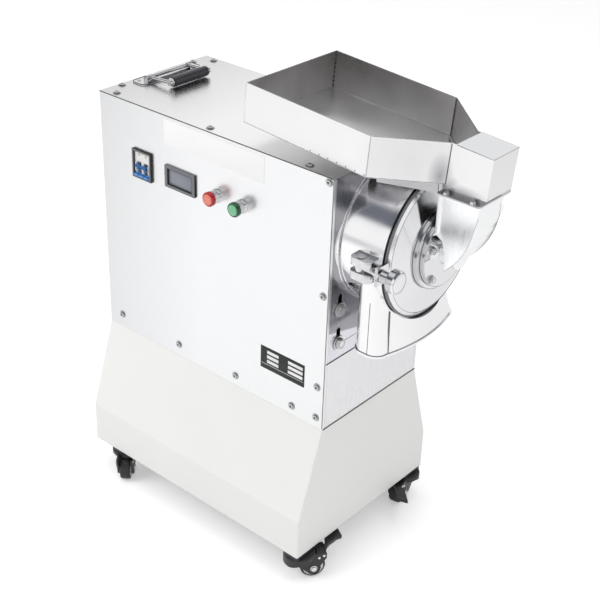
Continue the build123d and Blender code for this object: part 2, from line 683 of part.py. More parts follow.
def handle_grip():
    """Rubber sleeve around the bar between the arms."""
    x, z = handle_grip_centre()
    grip = rod_y(GRIP_RADIUS, HANDLE_Y - GRIP_HALF, HANDLE_Y + GRIP_HALF, x, z)
    grip = fillet(grip.edges(), 2.5)
    return grip - rod_y(3.0, HANDLE_Y - GRIP_HALF - 1, HANDLE_Y + GRIP_HALF + 1, x, z)


# ---- drum and chute ------------------------------------------------------------------------

def drum_shell():
    """Back wall, barrel and front flange, with the discharge opening in the barrel's underside."""
    shell = turned([(0, SHAFT_HOLE_RADIUS), (0, DRUM_FLANGE_RADIUS),
                    (DRUM_FLANGE, DRUM_FLANGE_RADIUS), (DRUM_FLANGE, DRUM_RADIUS),
                    (DRUM_FRONT - DRUM_FLANGE, DRUM_RADIUS),
                    (DRUM_FRONT - DRUM_FLANGE, DRUM_FLANGE_RADIUS),
                    (DRUM_FRONT, DRUM_FLANGE_RADIUS), (DRUM_FRONT, DRUM_BORE_RADIUS),
                    (DRUM_FLANGE, DRUM_BORE_RADIUS), (DRUM_FLANGE, SHAFT_HOLE_RADIUS)])
    start, end = OUTLET_ARC
    middle, half = (start + end) / 2, (end - start) / 2
    return shell - drum_sector(DRUM_BORE_RADIUS - 3, DRUM_RADIUS + 3, 42, 88, middle, half)


def grinding_liner():
    """Toothed ring that the hammers grind against, open over the screen."""
    x0, x1 = LINER_SPAN
    half = 180 - SCREEN_HALF_ANGLE
    outer = DRUM_BORE_RADIUS - 0.3
    gap = drum_sector(LINER_BORE_RADIUS - 5, outer + 5, x0 - 1, x1 + 1, -90, SCREEN_HALF_ANGLE)
    liner = rod_x(outer, x0, x1) - rod_x(LINER_BORE_RADIUS, x0 - 1, x1 + 1) - gap
    groove = rod_x(4.0, x0 - 1, x1 + 1, LINER_BORE_RADIUS, AXIS_Z)
    for tooth in range(LINER_TEETH):
        angle = 90 - half + (tooth + 0.5) * 2 * half / LINER_TEETH
        liner -= around_drum(groove, angle)
    return liner


def discharge_screen():
    """Slotted arc under the rotor that sets how fine the product leaves."""
    x0, x1 = LINER_SPAN
    screen = drum_sector(SCREEN_RADIUS, SCREEN_RADIUS + 2, x0, x1, -90, SCREEN_HALF_ANGLE - 1)
    slot = block(45, 85, -2, 2, AXIS_Z - SCREEN_RADIUS - 5, AXIS_Z - SCREEN_RADIUS + 3)
    for number in range(SCREEN_SLOTS):
        angle = (number - (SCREEN_SLOTS - 1) / 2) * SCREEN_SLOT_PITCH
        screen -= around_drum(slot, angle)
    return screen


def chute_section(inset, z):
    """Chute's outline at one height: round corners, bowed front, and the far end leaning in."""
    x0, x1 = CHUTE_DEPTH[0] + inset, CHUTE_DEPTH[1] - inset
    y0, y1 = CHUTE_ENDS[0] + inset, CHUTE_ENDS[1] - inset - CHUTE_LEAN * (z - CHUTE_BOTTOM)
    corner = CHUTE_CORNER - inset
    start, end = (x1, y0 + corner, z), (x1, y1 - corner, z)
    crown = (x1 + CHUTE_BOW, (y0 + y1) / 2, z)
    bow = make_face(ThreePointArc(start, crown, end) + Line(end, start))
    return Pos((x0 + x1) / 2, (y0 + y1) / 2, z) * RectangleRounded(x1 - x0, y1 - y0, corner) + bow


def discharge_chute():
    """Open chute under the drum, closed under the door's edge, with a rolled rim for tying on a bag."""
    front = CHUTE_DEPTH[1]
    reach = front + CHUTE_BOW + 5
    outside = loft([chute_section(0, CHUTE_BOTTOM), chute_section(0, CHUTE_TOP)])
    inside = loft([chute_section(CHUTE_WALL, CHUTE_BOTTOM - 2), chute_section(CHUTE_WALL, CHUTE_TOP + 2)])
    inside -= rod_x(DRUM_FLANGE_RADIUS + CHUTE_WALL, front - CHUTE_WALL, reach)
    chute = outside + extrude(chute_section(-CHUTE_RIM / 2, CHUTE_BOTTOM), amount=CHUTE_RIM) - inside
    chute -= rod_x(DRUM_RADIUS, -1, DRUM_FRONT)
    return chute - rod_x(DRUM_FLANGE_RADIUS, DRUM_FRONT - DRUM_FLANGE, reach)


# ---- door, hub, elbow and hopper -----------------------------------------------------------

def door_disc():
    """Domed door with its hinge straps and the slotted lug that the clamp bolt drops into."""
    disc = turned([(DOOR_BACK, THROAT_RADIUS), (DOOR_BACK, DOOR_RADIUS), (DOOR_EDGE, DOOR_RADIUS),
                   DOOR_SHOULDER, (DOOR_FRONT, DOOR_BOSS_RADIUS), (DOOR_FRONT, THROAT_RADIUS)])
    low, high = DOOR_KNUCKLE
    for side in (-1, 1):
        z0, z1 = sorted((HINGE_MIDDLE + side * low, HINGE_MIDDLE + side * high))
        strap = block(DOOR_BACK, STRAP_FRONT, 90, HINGE_Y, z0, z1)
        strap += rod_z(KNUCKLE_RADIUS, z0, z1, HINGE_X, HINGE_Y)
        strap -= block(0, DOOR_BACK, 0, HINGE_Y - KNUCKLE_RADIUS + 1, z0 - 1, z1 + 1)
        disc += strap
        disc -= rod_z(HINGE_PIN_RADIUS + RUNNING_GAP, z0 - 1, z1 + 1, HINGE_X, HINGE_Y)
    lug = block(DOOR_BACK, DOOR_LUG_FRONT, DOOR_LUG_TIP, -128, CLAMP_Z - DOOR_LUG_HALF_HEIGHT,
                CLAMP_Z + DOOR_LUG_HALF_HEIGHT)
    half = DOOR_LUG_SLOT / 2
    lug -= block(DOOR_BACK - 1, DOOR_LUG_FRONT + 1, DOOR_LUG_TIP - 1, CLAMP_Y,
                 CLAMP_Z - half, CLAMP_Z + half)
    lug -= rod_x(half, DOOR_BACK - 1, DOOR_LUG_FRONT + 1, CLAMP_Y, CLAMP_Z)
    return disc + lug - gasket_ring(0, DOOR_BACK - 1, DOOR_BACK + GASKET_GROOVE)


def gasket_ring(gap, x0, x1):
    """Plain ring about the drum's axis, gap narrower than the door's groove on both sides."""
    inner, outer = GASKET_RADII
    return rod_x(outer - gap, x0, x1) - rod_x(inner + gap, x0 - 1, x1 + 1)


def door_gasket():
    ring = gasket_ring(GASKET_GAP, DOOR_BACK - GASKET_PROUD, DOOR_BACK + GASKET_GROOVE)
    return chamfer(ring.edges().group_by(Axis.X)[0], 1)


def feed_hub():
    """Stepped hub on the door's middle, around the feed throat."""
    return turned([(DOOR_FRONT, THROAT_RADIUS), (DOOR_FRONT, HUB_RADIUS), (HUB_FRONT - 1.5, HUB_RADIUS),
                   (HUB_FRONT, HUB_RADIUS - 1.5), (HUB_FRONT, COLLAR_RADIUS),
                   (COLLAR_FRONT - 1, COLLAR_RADIUS), (COLLAR_FRONT, COLLAR_RADIUS - 1),
                   (COLLAR_FRONT, THROAT_RADIUS)])


def elbow_prism(inset):
    """Side view of the elbow, moved in by the wall's thickness, as a solid across the machine."""
    half = ELBOW_HALF_WIDTH - inset
    back = COLLAR_FRONT + inset
    top = ELBOW_TOP + inset
    bend = (ELBOW_BEND_TOP[0] - inset, 0, ELBOW_BEND_TOP[1])
    middle = (ELBOW_BEND_MIDDLE[0] - inset, 0, ELBOW_BEND_MIDDLE[1] + inset / 2)
    end = (back + ELBOW_SET_BACK[-1][0], 0, ELBOW_BOTTOM + inset)
    set_back = [(back + step, 0, z) for step, z in reversed(ELBOW_SET_BACK)]
    outline = Polyline(end, *set_back, (back, 0, top), (ELBOW_OUTER_TOP - inset, 0, top), bend)
    face = make_face(outline + ThreePointArc(bend, middle, end))
    return extrude(face, amount=half, dir=(0, 1, 0)) + extrude(face, amount=half, dir=(0, -1, 0))


def outlet_passage(z0, z1):
    x0, x1 = OUTLET_SPAN
    return block(x0, x1, -OUTLET_HALF_WIDTH, OUTLET_HALF_WIDTH, z0, z1)


def mouth_flange(z0, z1):
    """One of the two plates bolted together above the elbow."""
    plate = block(*FLANGE_SPAN, *FLANGE_REACH, z0, z1)
    return fillet(plate.edges().filter_by(Axis.Z).group_by(Axis.X)[-1], 8)


def feed_elbow():
    """Rectangular duct from the hopper's outlet, curving in to the hub's throat."""
    half = ELBOW_HALF_WIDTH
    duct = elbow_prism(0)
    plate, plate_half, plate_low = ELBOW_BACK_PLATE
    duct += block(COLLAR_FRONT, COLLAR_FRONT + plate, -plate_half, plate_half, plate_low, ELBOW_TOP)
    low = ELBOW_TOP - ELBOW_SLEEVE
    duct += block(COLLAR_FRONT, ELBOW_BEND_TOP[0] - 3, -half - 0.6, half + 0.6, low, ELBOW_TOP)
    duct += rod_x(NECK_RADIUS, COLLAR_FRONT, COLLAR_FRONT + NECK_LENGTH)
    duct -= elbow_prism(ELBOW_WALL)
    duct -= rod_x(THROAT_RADIUS, COLLAR_FRONT - 1, COLLAR_FRONT + NECK_LENGTH - ELBOW_WALL)
    flange = mouth_flange(ELBOW_TOP, ELBOW_TOP + FLANGE_PLATE)
    return duct + (flange - outlet_passage(ELBOW_TOP - 1, ELBOW_TOP + 5))


def hopper_outline(inset, length):
    """Plan of the tray, its funnel and its spout, moved in by the sheet's thickness."""
    wide = TRAY_HALF_WIDTH - inset
    narrow = SPOUT_HALF_WIDTH - inset
    points = [(inset, -wide), (TRAY_LENGTH, -wide), (FUNNEL_END, -narrow), (length - inset, -narrow),
              (length - inset, narrow), (FUNNEL_END, narrow), (TRAY_LENGTH, wide), (inset, wide)]
    return make_face(Polyline([(u, v, -HOPPER_DEPTH) for u, v in points], close=True))


def hopper_tray():
    """Tray, funnel and spout folded from one sheet, open above and over the elbow."""
    tray = extrude(hopper_outline(0, SPOUT_END), amount=HOPPER_DEPTH, dir=(0, 0, 1))
    tray -= Pos(0, 0, SHEET) * extrude(hopper_outline(SHEET, SPOUT_END), amount=HOPPER_DEPTH,
                                       dir=(0, 0, 1))
    return on_hopper(tray) + hopper_saddle() - outlet_passage(ELBOW_TOP, CABINET_TOP + 20)


def hopper_saddle():
    """Stiffening lips under the funnel's sides, and the neck that stands on the elbow's flange."""
    foot = ELBOW_TOP + 2 * FLANGE_PLATE
    high = CABINET_TOP + 60
    outer, inner = (on_hopper(extrude(hopper_outline(inset, SPOUT_END), amount=80, dir=(0, 0, -1)))
                    for inset in (LIP_INSET, LIP_INSET + LIP))
    profile = [(LIP_START[0], high), LIP_START, (NECK_START, foot), (NECK_START, high)]
    side = extrude(make_face(Polyline([(x, 0, z) for x, z in profile], close=True)),
                   amount=TRAY_HALF_WIDTH, dir=(0, 1, 0), both=True)
    half = NECK_HALF_WIDTH
    neck = outer & block(NECK_START, NECK_END, -half, half, foot, high)
    return ((outer - inner) & side) + neck + mouth_flange(foot - FLANGE_PLATE, foot)


def hopper_cover():
    """Lid welded over the spout, with a lip turned down towards the tray."""
    half = SPOUT_HALF_WIDTH
    lid = Pos((COVER_START + SPOUT_END) / 2, 0, SHEET / 2) * Box(SPOUT_END - COVER_START, 2 * half, SHEET)
    lip = Pos(COVER_START + SHEET / 2, 0, -10) * Box(SHEET, 2 * (half - SHEET), 20)
    return on_hopper(lid + lip)


def door_bolts():
    """Bolts of the hub's collar and of the flange above the elbow."""
    bolts = []
    for side in (-1, 1):
        for y, dz in HUB_BOLTS:
            washer = rod_x(7.5, COLLAR_FRONT, COLLAR_FRONT + 1.2, side * y, AXIS_Z + dz)
            head = hexagon_x(6.6, COLLAR_FRONT + 1.2, COLLAR_FRONT + 6, side * y, AXIS_Z + dz)
            bolts.append(washer + head)
        for x, y in FLANGE_BOLTS:
            foot = ELBOW_TOP + 2 * FLANGE_PLATE
            head = Pos(x, side * y, foot) * extrude(RegularPolygon(5.4, 6), amount=4.5)
            bolts.append(head)
    return group(bolts)


# ---- hinge and clamp -----------------------------------------------------------------------

def hinge_bracket():
    """Upper and lower arms from the head plate to the door's hinge pin."""
    arms = []
    near, far = FIXED_KNUCKLE
    for side in (-1, 1):
        z0, z1 = sorted((HINGE_MIDDLE + side * near, HINGE_MIDDLE + side * far))
        arm = block(0, HINGE_X, HINGE_Y - 10, HINGE_Y + 8, z0, z1)
        arm += rod_z(KNUCKLE_RADIUS, z0, z1, HINGE_X, HINGE_Y)
        arm += block(0, 10, HINGE_Y - 18, HINGE_Y + 8, z0, z1)
        arm -= rod_x(DRUM_FLANGE_RADIUS + 1, -1, DRUM_FLANGE + 3)
        arms.append(arm - rod_z(HINGE_PIN_RADIUS, z0 - 1, z1 + 1, HINGE_X, HINGE_Y))
    return group(arms)


def clamp_lug():
    """Two thick plates on the barrel that hold the clamp bolt's eye."""
    x0, x1 = LUG_SPAN
    plates = []
    for side in (-1, 1):
        z0, z1 = sorted((CLAMP_Z + side * CLAMP_GAP / 2, CLAMP_Z + side * (CLAMP_GAP / 2 + LUG_PLATE)))
        plate = block(x0, x1, LUG_OUTER_Y, -100, z0, z1)
        plate = fillet(plate.edges().filter_by(Axis.Z).group_by(Axis.Y)[0], 11)
        plate -= rod_x(DRUM_RADIUS, x0 - 1, x1 + 1)
        plates.append(plate - rod_z(CLAMP_PIN_RADIUS, z0 - 1, z1 + 1, CLAMP_PIN_X, CLAMP_Y))
    return group(plates)


def pivot_pins():
    """Hinge pin of the door and pivot pin of the clamp bolt, each with its head."""
    reach = FIXED_KNUCKLE[1]
    top = HINGE_MIDDLE + reach
    hinge = rod_z(HINGE_PIN_RADIUS, HINGE_MIDDLE - reach - 3, top, HINGE_X, HINGE_Y)
    hinge += rod_z(9.0, top, top + 4, HINGE_X, HINGE_Y)
    reach = CLAMP_GAP / 2 + LUG_PLATE
    clamp = rod_z(CLAMP_PIN_RADIUS, CLAMP_Z - reach - 2, CLAMP_Z + reach, CLAMP_PIN_X, CLAMP_Y)
    head = rod_z(7.0, CLAMP_Z + reach, CLAMP_Z + reach + 3, CLAMP_PIN_X, CLAMP_Y)
    return group([hinge, clamp + fillet(head.edges().group_by(Axis.Z)[-1], 1.5)])


def clamp_bolt():
    """Eye bolt that swings between the lug plates."""
    half = CLAMP_GAP / 2 - 0.2
    eye = rod_z(10.0, CLAMP_Z - half, CLAMP_Z + half, CLAMP_PIN_X, CLAMP_Y)
    bolt = eye + rod_x(BOLT_RADIUS, CLAMP_PIN_X, BOLT_END, CLAMP_Y, CLAMP_Z)
    gap = CLAMP_PIN_RADIUS + RUNNING_GAP
    return bolt - rod_z(gap, CLAMP_Z - half - 1, CLAMP_Z + half + 1, CLAMP_PIN_X, CLAMP_Y)


def clamp_knob():
    """Polished hand nut: a neck that bears on the door's lug and a drum-shaped head."""
    start, neck_end = KNOB_NECK
    bore = BOLT_RADIUS + RUNNING_GAP
    points = [(start, bore), (start, KNOB_NECK_RADIUS - 1), (start + 1, KNOB_NECK_RADIUS),
              (neck_end, KNOB_NECK_RADIUS - 1), (neck_end, KNOB_RADIUS - 3),
              (neck_end + 3, KNOB_RADIUS), (KNOB_END - 4, KNOB_RADIUS), (KNOB_END - 1, KNOB_RADIUS - 3),
              (KNOB_END, KNOB_RADIUS - 8), (KNOB_END, 0), (BOLT_END + 1, 0), (BOLT_END + 1, bore)]
    return turned(points, CLAMP_Y, CLAMP_Z)


# ---- rotor, bearings, motor and belts ------------------------------------------------------

def main_shaft():
    """Stepped shaft with the nut that holds the rotor on."""
    rear = PULLEY_SPAN[0] - 4
    shaft = turned([(rear, 0), (rear, SHAFT_END_RADIUS), (PULLEY_SPAN[1], SHAFT_END_RADIUS),
                    (PULLEY_SPAN[1], SHAFT_RADIUS), (DRUM_FLANGE + 2, SHAFT_RADIUS),
                    (DRUM_FLANGE + 2, ROTOR_SEAT_RADIUS), (66, ROTOR_SEAT_RADIUS), (66, 0)])
    nut = hexagon_x(22.0, ROTOR_HUB[1], 62, 0, AXIS_Z) - rod_x(ROTOR_SEAT_RADIUS, 0, 70)
    return group([shaft, nut])


def rotor_disc():
    x0, x1 = ROTOR_HUB
    d0, d1 = ROTOR_DISC
    return turned([(x0, ROTOR_SEAT_RADIUS), (x0, ROTOR_HUB_RADIUS), (d0, ROTOR_HUB_RADIUS),
                   (d0, ROTOR_DISC_RADIUS), (d1, ROTOR_DISC_RADIUS), (d1, ROTOR_HUB_RADIUS),
                   (x1, ROTOR_HUB_RADIUS), (x1, ROTOR_SEAT_RADIUS)])


def hammers():
    """Beater blades bolted to the disc's face."""
    inner, outer = HAMMER_RADII
    half = HAMMER_THICKNESS / 2
    blade = block(ROTOR_DISC[1], HAMMER_END, -half, half, AXIS_Z + inner, AXIS_Z + outer)
    blade = fillet(blade.edges().filter_by(Axis.Y).group_by(Axis.X)[-1].group_by(Axis.Z)[0], 10)
    return group([around_drum(blade, 360 * number / HAMMERS) for number in range(HAMMERS)])


def pulley(radius, z):
    """Grooved pulley around a shaft end at height z."""
    x0, x1 = PULLEY_SPAN
    points = [(x0, SHAFT_END_RADIUS), (x0, radius)]
    for centre in belt_centres():
        points += [(centre - GROOVE_WIDTH / 2, radius),
                   (centre - GROOVE_WIDTH / 2, radius - GROOVE_DEPTH),
                   (centre + GROOVE_WIDTH / 2, radius - GROOVE_DEPTH),
                   (centre + GROOVE_WIDTH / 2, radius)]
    points += [(x1, radius), (x1, SHAFT_END_RADIUS)]
    return turned(points, 0, z)


def belt_centres():
    """Places of the belts across the pulleys."""
    x0, x1 = PULLEY_SPAN
    pitch = (x1 - x0) / GROOVES
    return [x0 + (number + 0.5) * pitch for number in range(GROOVES)]


def belt_loop(top_radius, bottom_radius, x):
    """Face inside a belt line drawn round both pulleys, in the plane at x."""
    lean = asin((bottom_radius - top_radius) / (AXIS_Z - MOTOR_AXIS_Z))
    sides = []
    for side in (-1, 1):
        top = (x, side * top_radius * cos(lean), AXIS_Z + top_radius * sin(lean))
        bottom = (x, side * bottom_radius * cos(lean), MOTOR_AXIS_Z + bottom_radius * sin(lean))
        sides.append((top, bottom))
    (left_top, left_bottom), (right_top, right_bottom) = sides
    outline = [Line(left_bottom, left_top),
               ThreePointArc(left_top, (x, 0, AXIS_Z + top_radius), right_top),
               Line(right_top, right_bottom),
               ThreePointArc(right_bottom, (x, 0, MOTOR_AXIS_Z - bottom_radius), left_bottom)]
    return make_face(Wire(outline))


def drive_belts():
    """Three V-belts from the motor's pulley up to the rotor's."""
    belts = []
    for centre in belt_centres():
        x = centre - BELT_WIDTH / 2
        outer = belt_loop(DRIVEN_PULLEY_RADIUS + BELT_PROUD, DRIVE_PULLEY_RADIUS + BELT_PROUD, x)
        shrink = BELT_PROUD - BELT_THICKNESS
        inner = belt_loop(DRIVEN_PULLEY_RADIUS + shrink, DRIVE_PULLEY_RADIUS + shrink, x)
        belts.append(extrude(outer, amount=BELT_WIDTH, dir=(1, 0, 0))
                     - extrude(inner, amount=BELT_WIDTH, dir=(1, 0, 0)))
    return group(belts)


def bearing_housing():
    """Flanged housing bolted behind the head plate, with a seat for a bearing at each end."""
    (front_back, _), (_, rear_front) = BEARING_SPANS
    seat = BEARING_RADIUS
    bore = SHAFT_RADIUS + 12
    return turned([(HOUSING_REAR, HOUSING_RADIUS), (-22, HOUSING_RADIUS), (-22, HOUSING_FLANGE_RADIUS),
                   (-HEAD_PLATE, HOUSING_FLANGE_RADIUS), (-HEAD_PLATE, seat), (front_back, seat),
                   (front_back, bore), (rear_front, bore), (rear_front, seat), (HOUSING_REAR, seat)])


def shaft_bearings():
    """Ball bearings as closed rings with sunk shields."""
    rings = []
    inner = SHAFT_RADIUS + RUNNING_GAP
    outer = BEARING_RADIUS - RUNNING_GAP
    for x0, x1 in BEARING_SPANS:
        rings.append(turned([(x0, inner), (x0, inner + 5), (x0 + 1, inner + 5), (x0 + 1, outer - 5),
                             (x0, outer - 5), (x0, outer), (x1, outer), (x1, outer - 5),
                             (x1 - 1, outer - 5), (x1 - 1, inner + 5), (x1, inner + 5), (x1, inner)]))
    return group(rings)


def motor_housing():
    """Foot-mounted motor: finned body, end shields, fan cover, terminal box and feet."""
    rear = MOTOR_FRONT - MOTOR_LENGTH
    fin_start = MOTOR_FRONT - 25
    fin_end = rear + 60
    body = rod_x(MOTOR_RADIUS, rear, MOTOR_FRONT, 0, MOTOR_AXIS_Z)
    body += rod_x(MOTOR_FIN_RADIUS, fin_start, MOTOR_FRONT - 8, 0, MOTOR_AXIS_Z)
    body += rod_x(MOTOR_FIN_RADIUS - 2, rear, fin_end, 0, MOTOR_AXIS_Z)
    fin = block(fin_end, fin_start, -1.5, 1.5, MOTOR_AXIS_Z + MOTOR_RADIUS - 3,
                MOTOR_AXIS_Z + MOTOR_FIN_RADIUS - 2)
    for number in range(MOTOR_FINS):
        place = Pos(0, 0, MOTOR_AXIS_Z) * Rot(360 * number / MOTOR_FINS, 0, 0)
        body += place * Pos(0, 0, -MOTOR_AXIS_Z) * fin
    body += block(fin_end + 40, fin_start - 20, -50, 50, MOTOR_AXIS_Z + 70, MOTOR_AXIS_Z + 125)
    for x in (fin_end + 30, fin_start - 30):
        body += block(x - 20, x + 20, -90, 90, FLOOR_PLATE_TOP, FLOOR_PLATE_TOP + 12)
        body += block(x - 8, x + 8, -60, 60, FLOOR_PLATE_TOP, MOTOR_AXIS_Z - 60)
    shaft_gap = SHAFT_END_RADIUS + RUNNING_GAP
    return body - rod_x(shaft_gap, MOTOR_FRONT - 60, MOTOR_FRONT + 1, 0, MOTOR_AXIS_Z)


def motor_shaft():
    return rod_x(SHAFT_END_RADIUS, MOTOR_FRONT - 50, PULLEY_SPAN[1] + 3, 0, MOTOR_AXIS_Z)


# ---- casters, drawn with the swivel axis at the origin and the wheel trailing along +X -------

def caster_place(name):
    x, y, heading, _ = CASTERS[name]
    return Pos(x, y, 0) * Rot(0, 0, heading)


def fork_nose():
    """Lip around the front of the swivelling head, rising towards the legs."""
    radius, top = FORK_HEAD_RADIUS, FORK_HEAD[0] + 1
    lip = rod_z(radius, FORK_NOSE_BOTTOM, top, 0, 0)
    lip -= rod_z(radius - FORK_LEG, FORK_NOSE_BOTTOM - 1, top + 1, 0, 0)
    outline = [(-radius - 1, FORK_NOSE_BOTTOM), (8 - radius, FORK_NOSE_BOTTOM), (10, top),
               (-radius - 1, top)]
    face = make_face(Polyline([(x, -radius - 1, z) for x, z in outline], close=True))
    return lip & extrude(face, amount=2 * radius + 2, dir=(0, 1, 0))


def caster_fork(with_pedal):
    """Swivelling head with a nose and two legs down to the axle, and room for a pedal's pin."""
    z0, z1 = FORK_HEAD
    inner = WHEEL_HALF_WIDTH + FORK_GAP
    outer = inner + FORK_LEG
    fork = rod_z(FORK_HEAD_RADIUS, z0, z1, 0, 0)
    fork = fillet(fork.edges().group_by(Axis.Z)[-1], 3) + fork_nose()
    for side in (-1, 1):
        y0, y1 = sorted((side * inner, side * outer))
        outline = [(-22, z0 + 2), (-14, 42), (CASTER_TRAIL - 12, WHEEL_RADIUS - 7),
                   (CASTER_TRAIL + 13, WHEEL_RADIUS + 5), (CASTER_TRAIL + 25, z0 - 3),
                   (CASTER_TRAIL + 25, z1 - 1), (0, z1 - 1)]
        face = make_face(Polyline([(x, y0, z) for x, z in outline], close=True))
        fork += extrude(face, amount=y1 - y0, dir=(0, 1, 0))
        fork += rod_y(FORK_TIP_RADIUS, y0, y1, CASTER_TRAIL, WHEEL_RADIUS)
    fork += rod_y(AXLE_RADIUS, -outer - 2, outer + 2, CASTER_TRAIL, WHEEL_RADIUS)
    fork -= rod_z(KINGPIN_RADIUS + RUNNING_GAP, z0 - 1, z1 + 1, 0, 0)
    if with_pedal:
        x, z = PEDAL_PIVOT
        fork -= rod_y(PEDAL_PIN_RADIUS + RUNNING_GAP, -outer - 1, outer + 1, x, z)
    return fork


def caster_wheel():
    """Nylon wheel with a raised hub, on a plain bore."""
    half = WHEEL_HALF_WIDTH
    wheel = rod_y(WHEEL_RADIUS, -half, half, CASTER_TRAIL, WHEEL_RADIUS)
    wheel = fillet(wheel.edges(), 3.5)
    for side in (-1, 1):
        y0, y1 = sorted((side * (half - 2.5), side * (half + 1)))
        ring = rod_y(19, y0, y1, CASTER_TRAIL, WHEEL_RADIUS) - rod_y(9, y0, y1, CASTER_TRAIL, WHEEL_RADIUS)
        wheel -= ring
    return wheel - rod_y(AXLE_RADIUS + RUNNING_GAP, -half - 1, half + 1, CASTER_TRAIL, WHEEL_RADIUS)


def pedal_tread():
    """Pressed tread of the pedal, set aside from the fork and open below."""
    outline = make_face(Polyline(PEDAL_TREAD, close=True))
    low = PEDAL_TOP - PEDAL_DEPTH
    tread = Pos(0, 0, low) * extrude(outline, amount=PEDAL_DEPTH)
    hollow = extrude(offset(outline, amount=-PEDAL_WALL), amount=PEDAL_DEPTH - PEDAL_WALL + 1)
    return tread - Pos(0, 0, low - 1) * hollow


def brake_pedal():
    """Foot lever on a pin through the fork's legs."""
    x, z = PEDAL_PIVOT
    inner = WHEEL_HALF_WIDTH + FORK_GAP - 0.4
    arm = block(FORK_HEAD_RADIUS + 2, 51, -inner, inner, z - 2.5, z + 2.5)
    pin_half = WHEEL_HALF_WIDTH + FORK_GAP + FORK_LEG
    return arm + pedal_tread() + rod_y(PEDAL_PIN_RADIUS, -pin_half, pin_half, x, z)


# ---- all nodes -----------------------------------------------------------------------------

def all_parts():
    parts = {
        "base_shell": base_shell(),
        "base_floor": base_floor(),
        "caster_plates": caster_plates(),
        "inner_frame": inner_frame(),
        "front_panel": front_panel(),
        "back_panel": back_panel(),
        "rear_panel": rear_panel(),
        "top_panel": top_panel(),
        "head_plate": head_plate(),
        "lower_end_panel": lower_end_panel(),
        "panel_screws": panel_screws(),
        "head_bolts": head_bolts(),
        "blank_plates": blank_plates(),
        "breaker_frame": breaker_frame(),
        "breaker_body": breaker_body(),
        "breaker_toggle": breaker_toggle(),
        "panel_meter": panel_meter(),
        "button_bodies": button_bodies(),
        "stop_button": push_button(BUTTON_X[0]),
        "start_button": push_button(BUTTON_X[1]),
        "cable_gland": cable_gland(),
        "handle_plate": handle_plate(),
        "handle_arms": handle_arms(),
        "handle_grip": handle_grip(),
        "drum_shell": drum_shell(),
        "grinding_liner": grinding_liner(),
        "discharge_screen": discharge_screen(),
        "discharge_chute": discharge_chute(),
        "clamp_lug": clamp_lug(),
        "clamp_bolt": clamp_bolt(),
        "clamp_knob": clamp_knob(),
        "hinge_bracket": hinge_bracket(),
        "pivot_pins": pivot_pins(),
        "door_disc": door_disc(),
        "door_gasket": door_gasket(),
        "feed_hub": feed_hub(),
        "feed_elbow": feed_elbow(),
        "door_bolts": door_bolts(),
        "hopper_tray": hopper_tray(),
        "hopper_cover": hopper_cover(),
        "main_shaft": main_shaft(),
        "rotor_disc": rotor_disc(),
        "hammers": hammers(),
        "driven_pulley": pulley(DRIVEN_PULLEY_RADIUS, AXIS_Z),
        "bearing_housing": bearing_housing(),
        "shaft_bearings": shaft_bearings(),
        "motor_housing": motor_housing(),
        "motor_shaft": motor_shaft(),
        "drive_pulley": pulley(DRIVE_PULLEY_RADIUS, MOTOR_AXIS_Z),
        "drive_belts": drive_belts(),
    }
    for corner, (_, _, _, with_pedal) in CASTERS.items():
        place = caster_place(corner)
        parts["caster_fork_" + corner] = place * caster_fork(with_pedal)
        parts["caster_wheel_" + corner] = place * caster_wheel()
        if with_pedal:
            parts["caster_pedal_" + corner] = place * brake_pedal()
    return parts


def write_parts():
    """Write each piece to its own STEP, moved so that x = 0 is the middle of the whole length."""
    parts = all_parts()
    boxes = [shape.bounding_box() for shape in parts.values()]
    low = min(box.min.X for box in boxes)
    high = max(box.max.X for box in boxes)
    middle = round((low + high) / 2, 1)
    os.makedirs("parts", exist_ok=True)
    for name, shape in parts.items():
        export_step(Pos(-middle, 0, 0) * shape, "parts/" + name + ".step")
    print("mill face at x =", -middle, "nodes", len(parts))


write_parts()
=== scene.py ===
"""Looks of the continuous-feed mill: materials, detailed pieces, studio and camera."""
import math

import bmesh
import bpy
from mathutils import Matrix, Vector


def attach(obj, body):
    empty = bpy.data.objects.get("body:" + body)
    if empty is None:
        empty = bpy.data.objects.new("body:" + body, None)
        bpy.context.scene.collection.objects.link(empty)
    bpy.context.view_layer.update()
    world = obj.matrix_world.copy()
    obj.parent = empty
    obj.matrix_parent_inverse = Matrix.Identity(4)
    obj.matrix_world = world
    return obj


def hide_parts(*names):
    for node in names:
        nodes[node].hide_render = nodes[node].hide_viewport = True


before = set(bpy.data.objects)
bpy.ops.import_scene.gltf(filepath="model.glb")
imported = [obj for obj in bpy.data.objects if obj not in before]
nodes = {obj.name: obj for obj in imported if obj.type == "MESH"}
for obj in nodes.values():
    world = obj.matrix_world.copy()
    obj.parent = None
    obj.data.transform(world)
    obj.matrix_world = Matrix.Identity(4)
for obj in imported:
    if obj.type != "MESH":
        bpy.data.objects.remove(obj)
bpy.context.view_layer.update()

# Dimensions repeated from the solids, in millimetres, with x = 0 at the mill face.
SHIFT = 183.2            # from the mill face to the middle of the bounding box
PANEL_Y = -142.5         # outside of the control panel
AXIS_Z = 706.5           # axis of drum, door and rotor
CONTROL_Z = 722.0        # middle of the breaker, the meter and the buttons
PLATE_BOTTOM = 480.2     # lower edge of the head plate
BREAKER_X = -456.7       # middle of the breaker
REAR_X = -570.0          # rear end of the cabinet
TOP_Z = 839.0            # top of the cabinet, under the screw heads
SEAM_Z = 838.4           # seam between the front and top panels
KNOB = (-146.0, AXIS_Z - 3)              # y and z of the clamp knob's axis
HUB_BOLTS = ((45.5, 15.5), (40.0, -41.0))  # y either side and rise from the axis
GRIP = (-484.0, 8.0, 850.5)              # middle of the handle's grip
PIVOT = (-541.0, 8.0, 847.0)             # middle of the handle's pivot axis
HOPPER_X, HOPPER_Z = -217.2, 940.6       # rear top edge of the tray
TRAY_FOLD = 267.8        # length along the tray to where its side walls turn inward
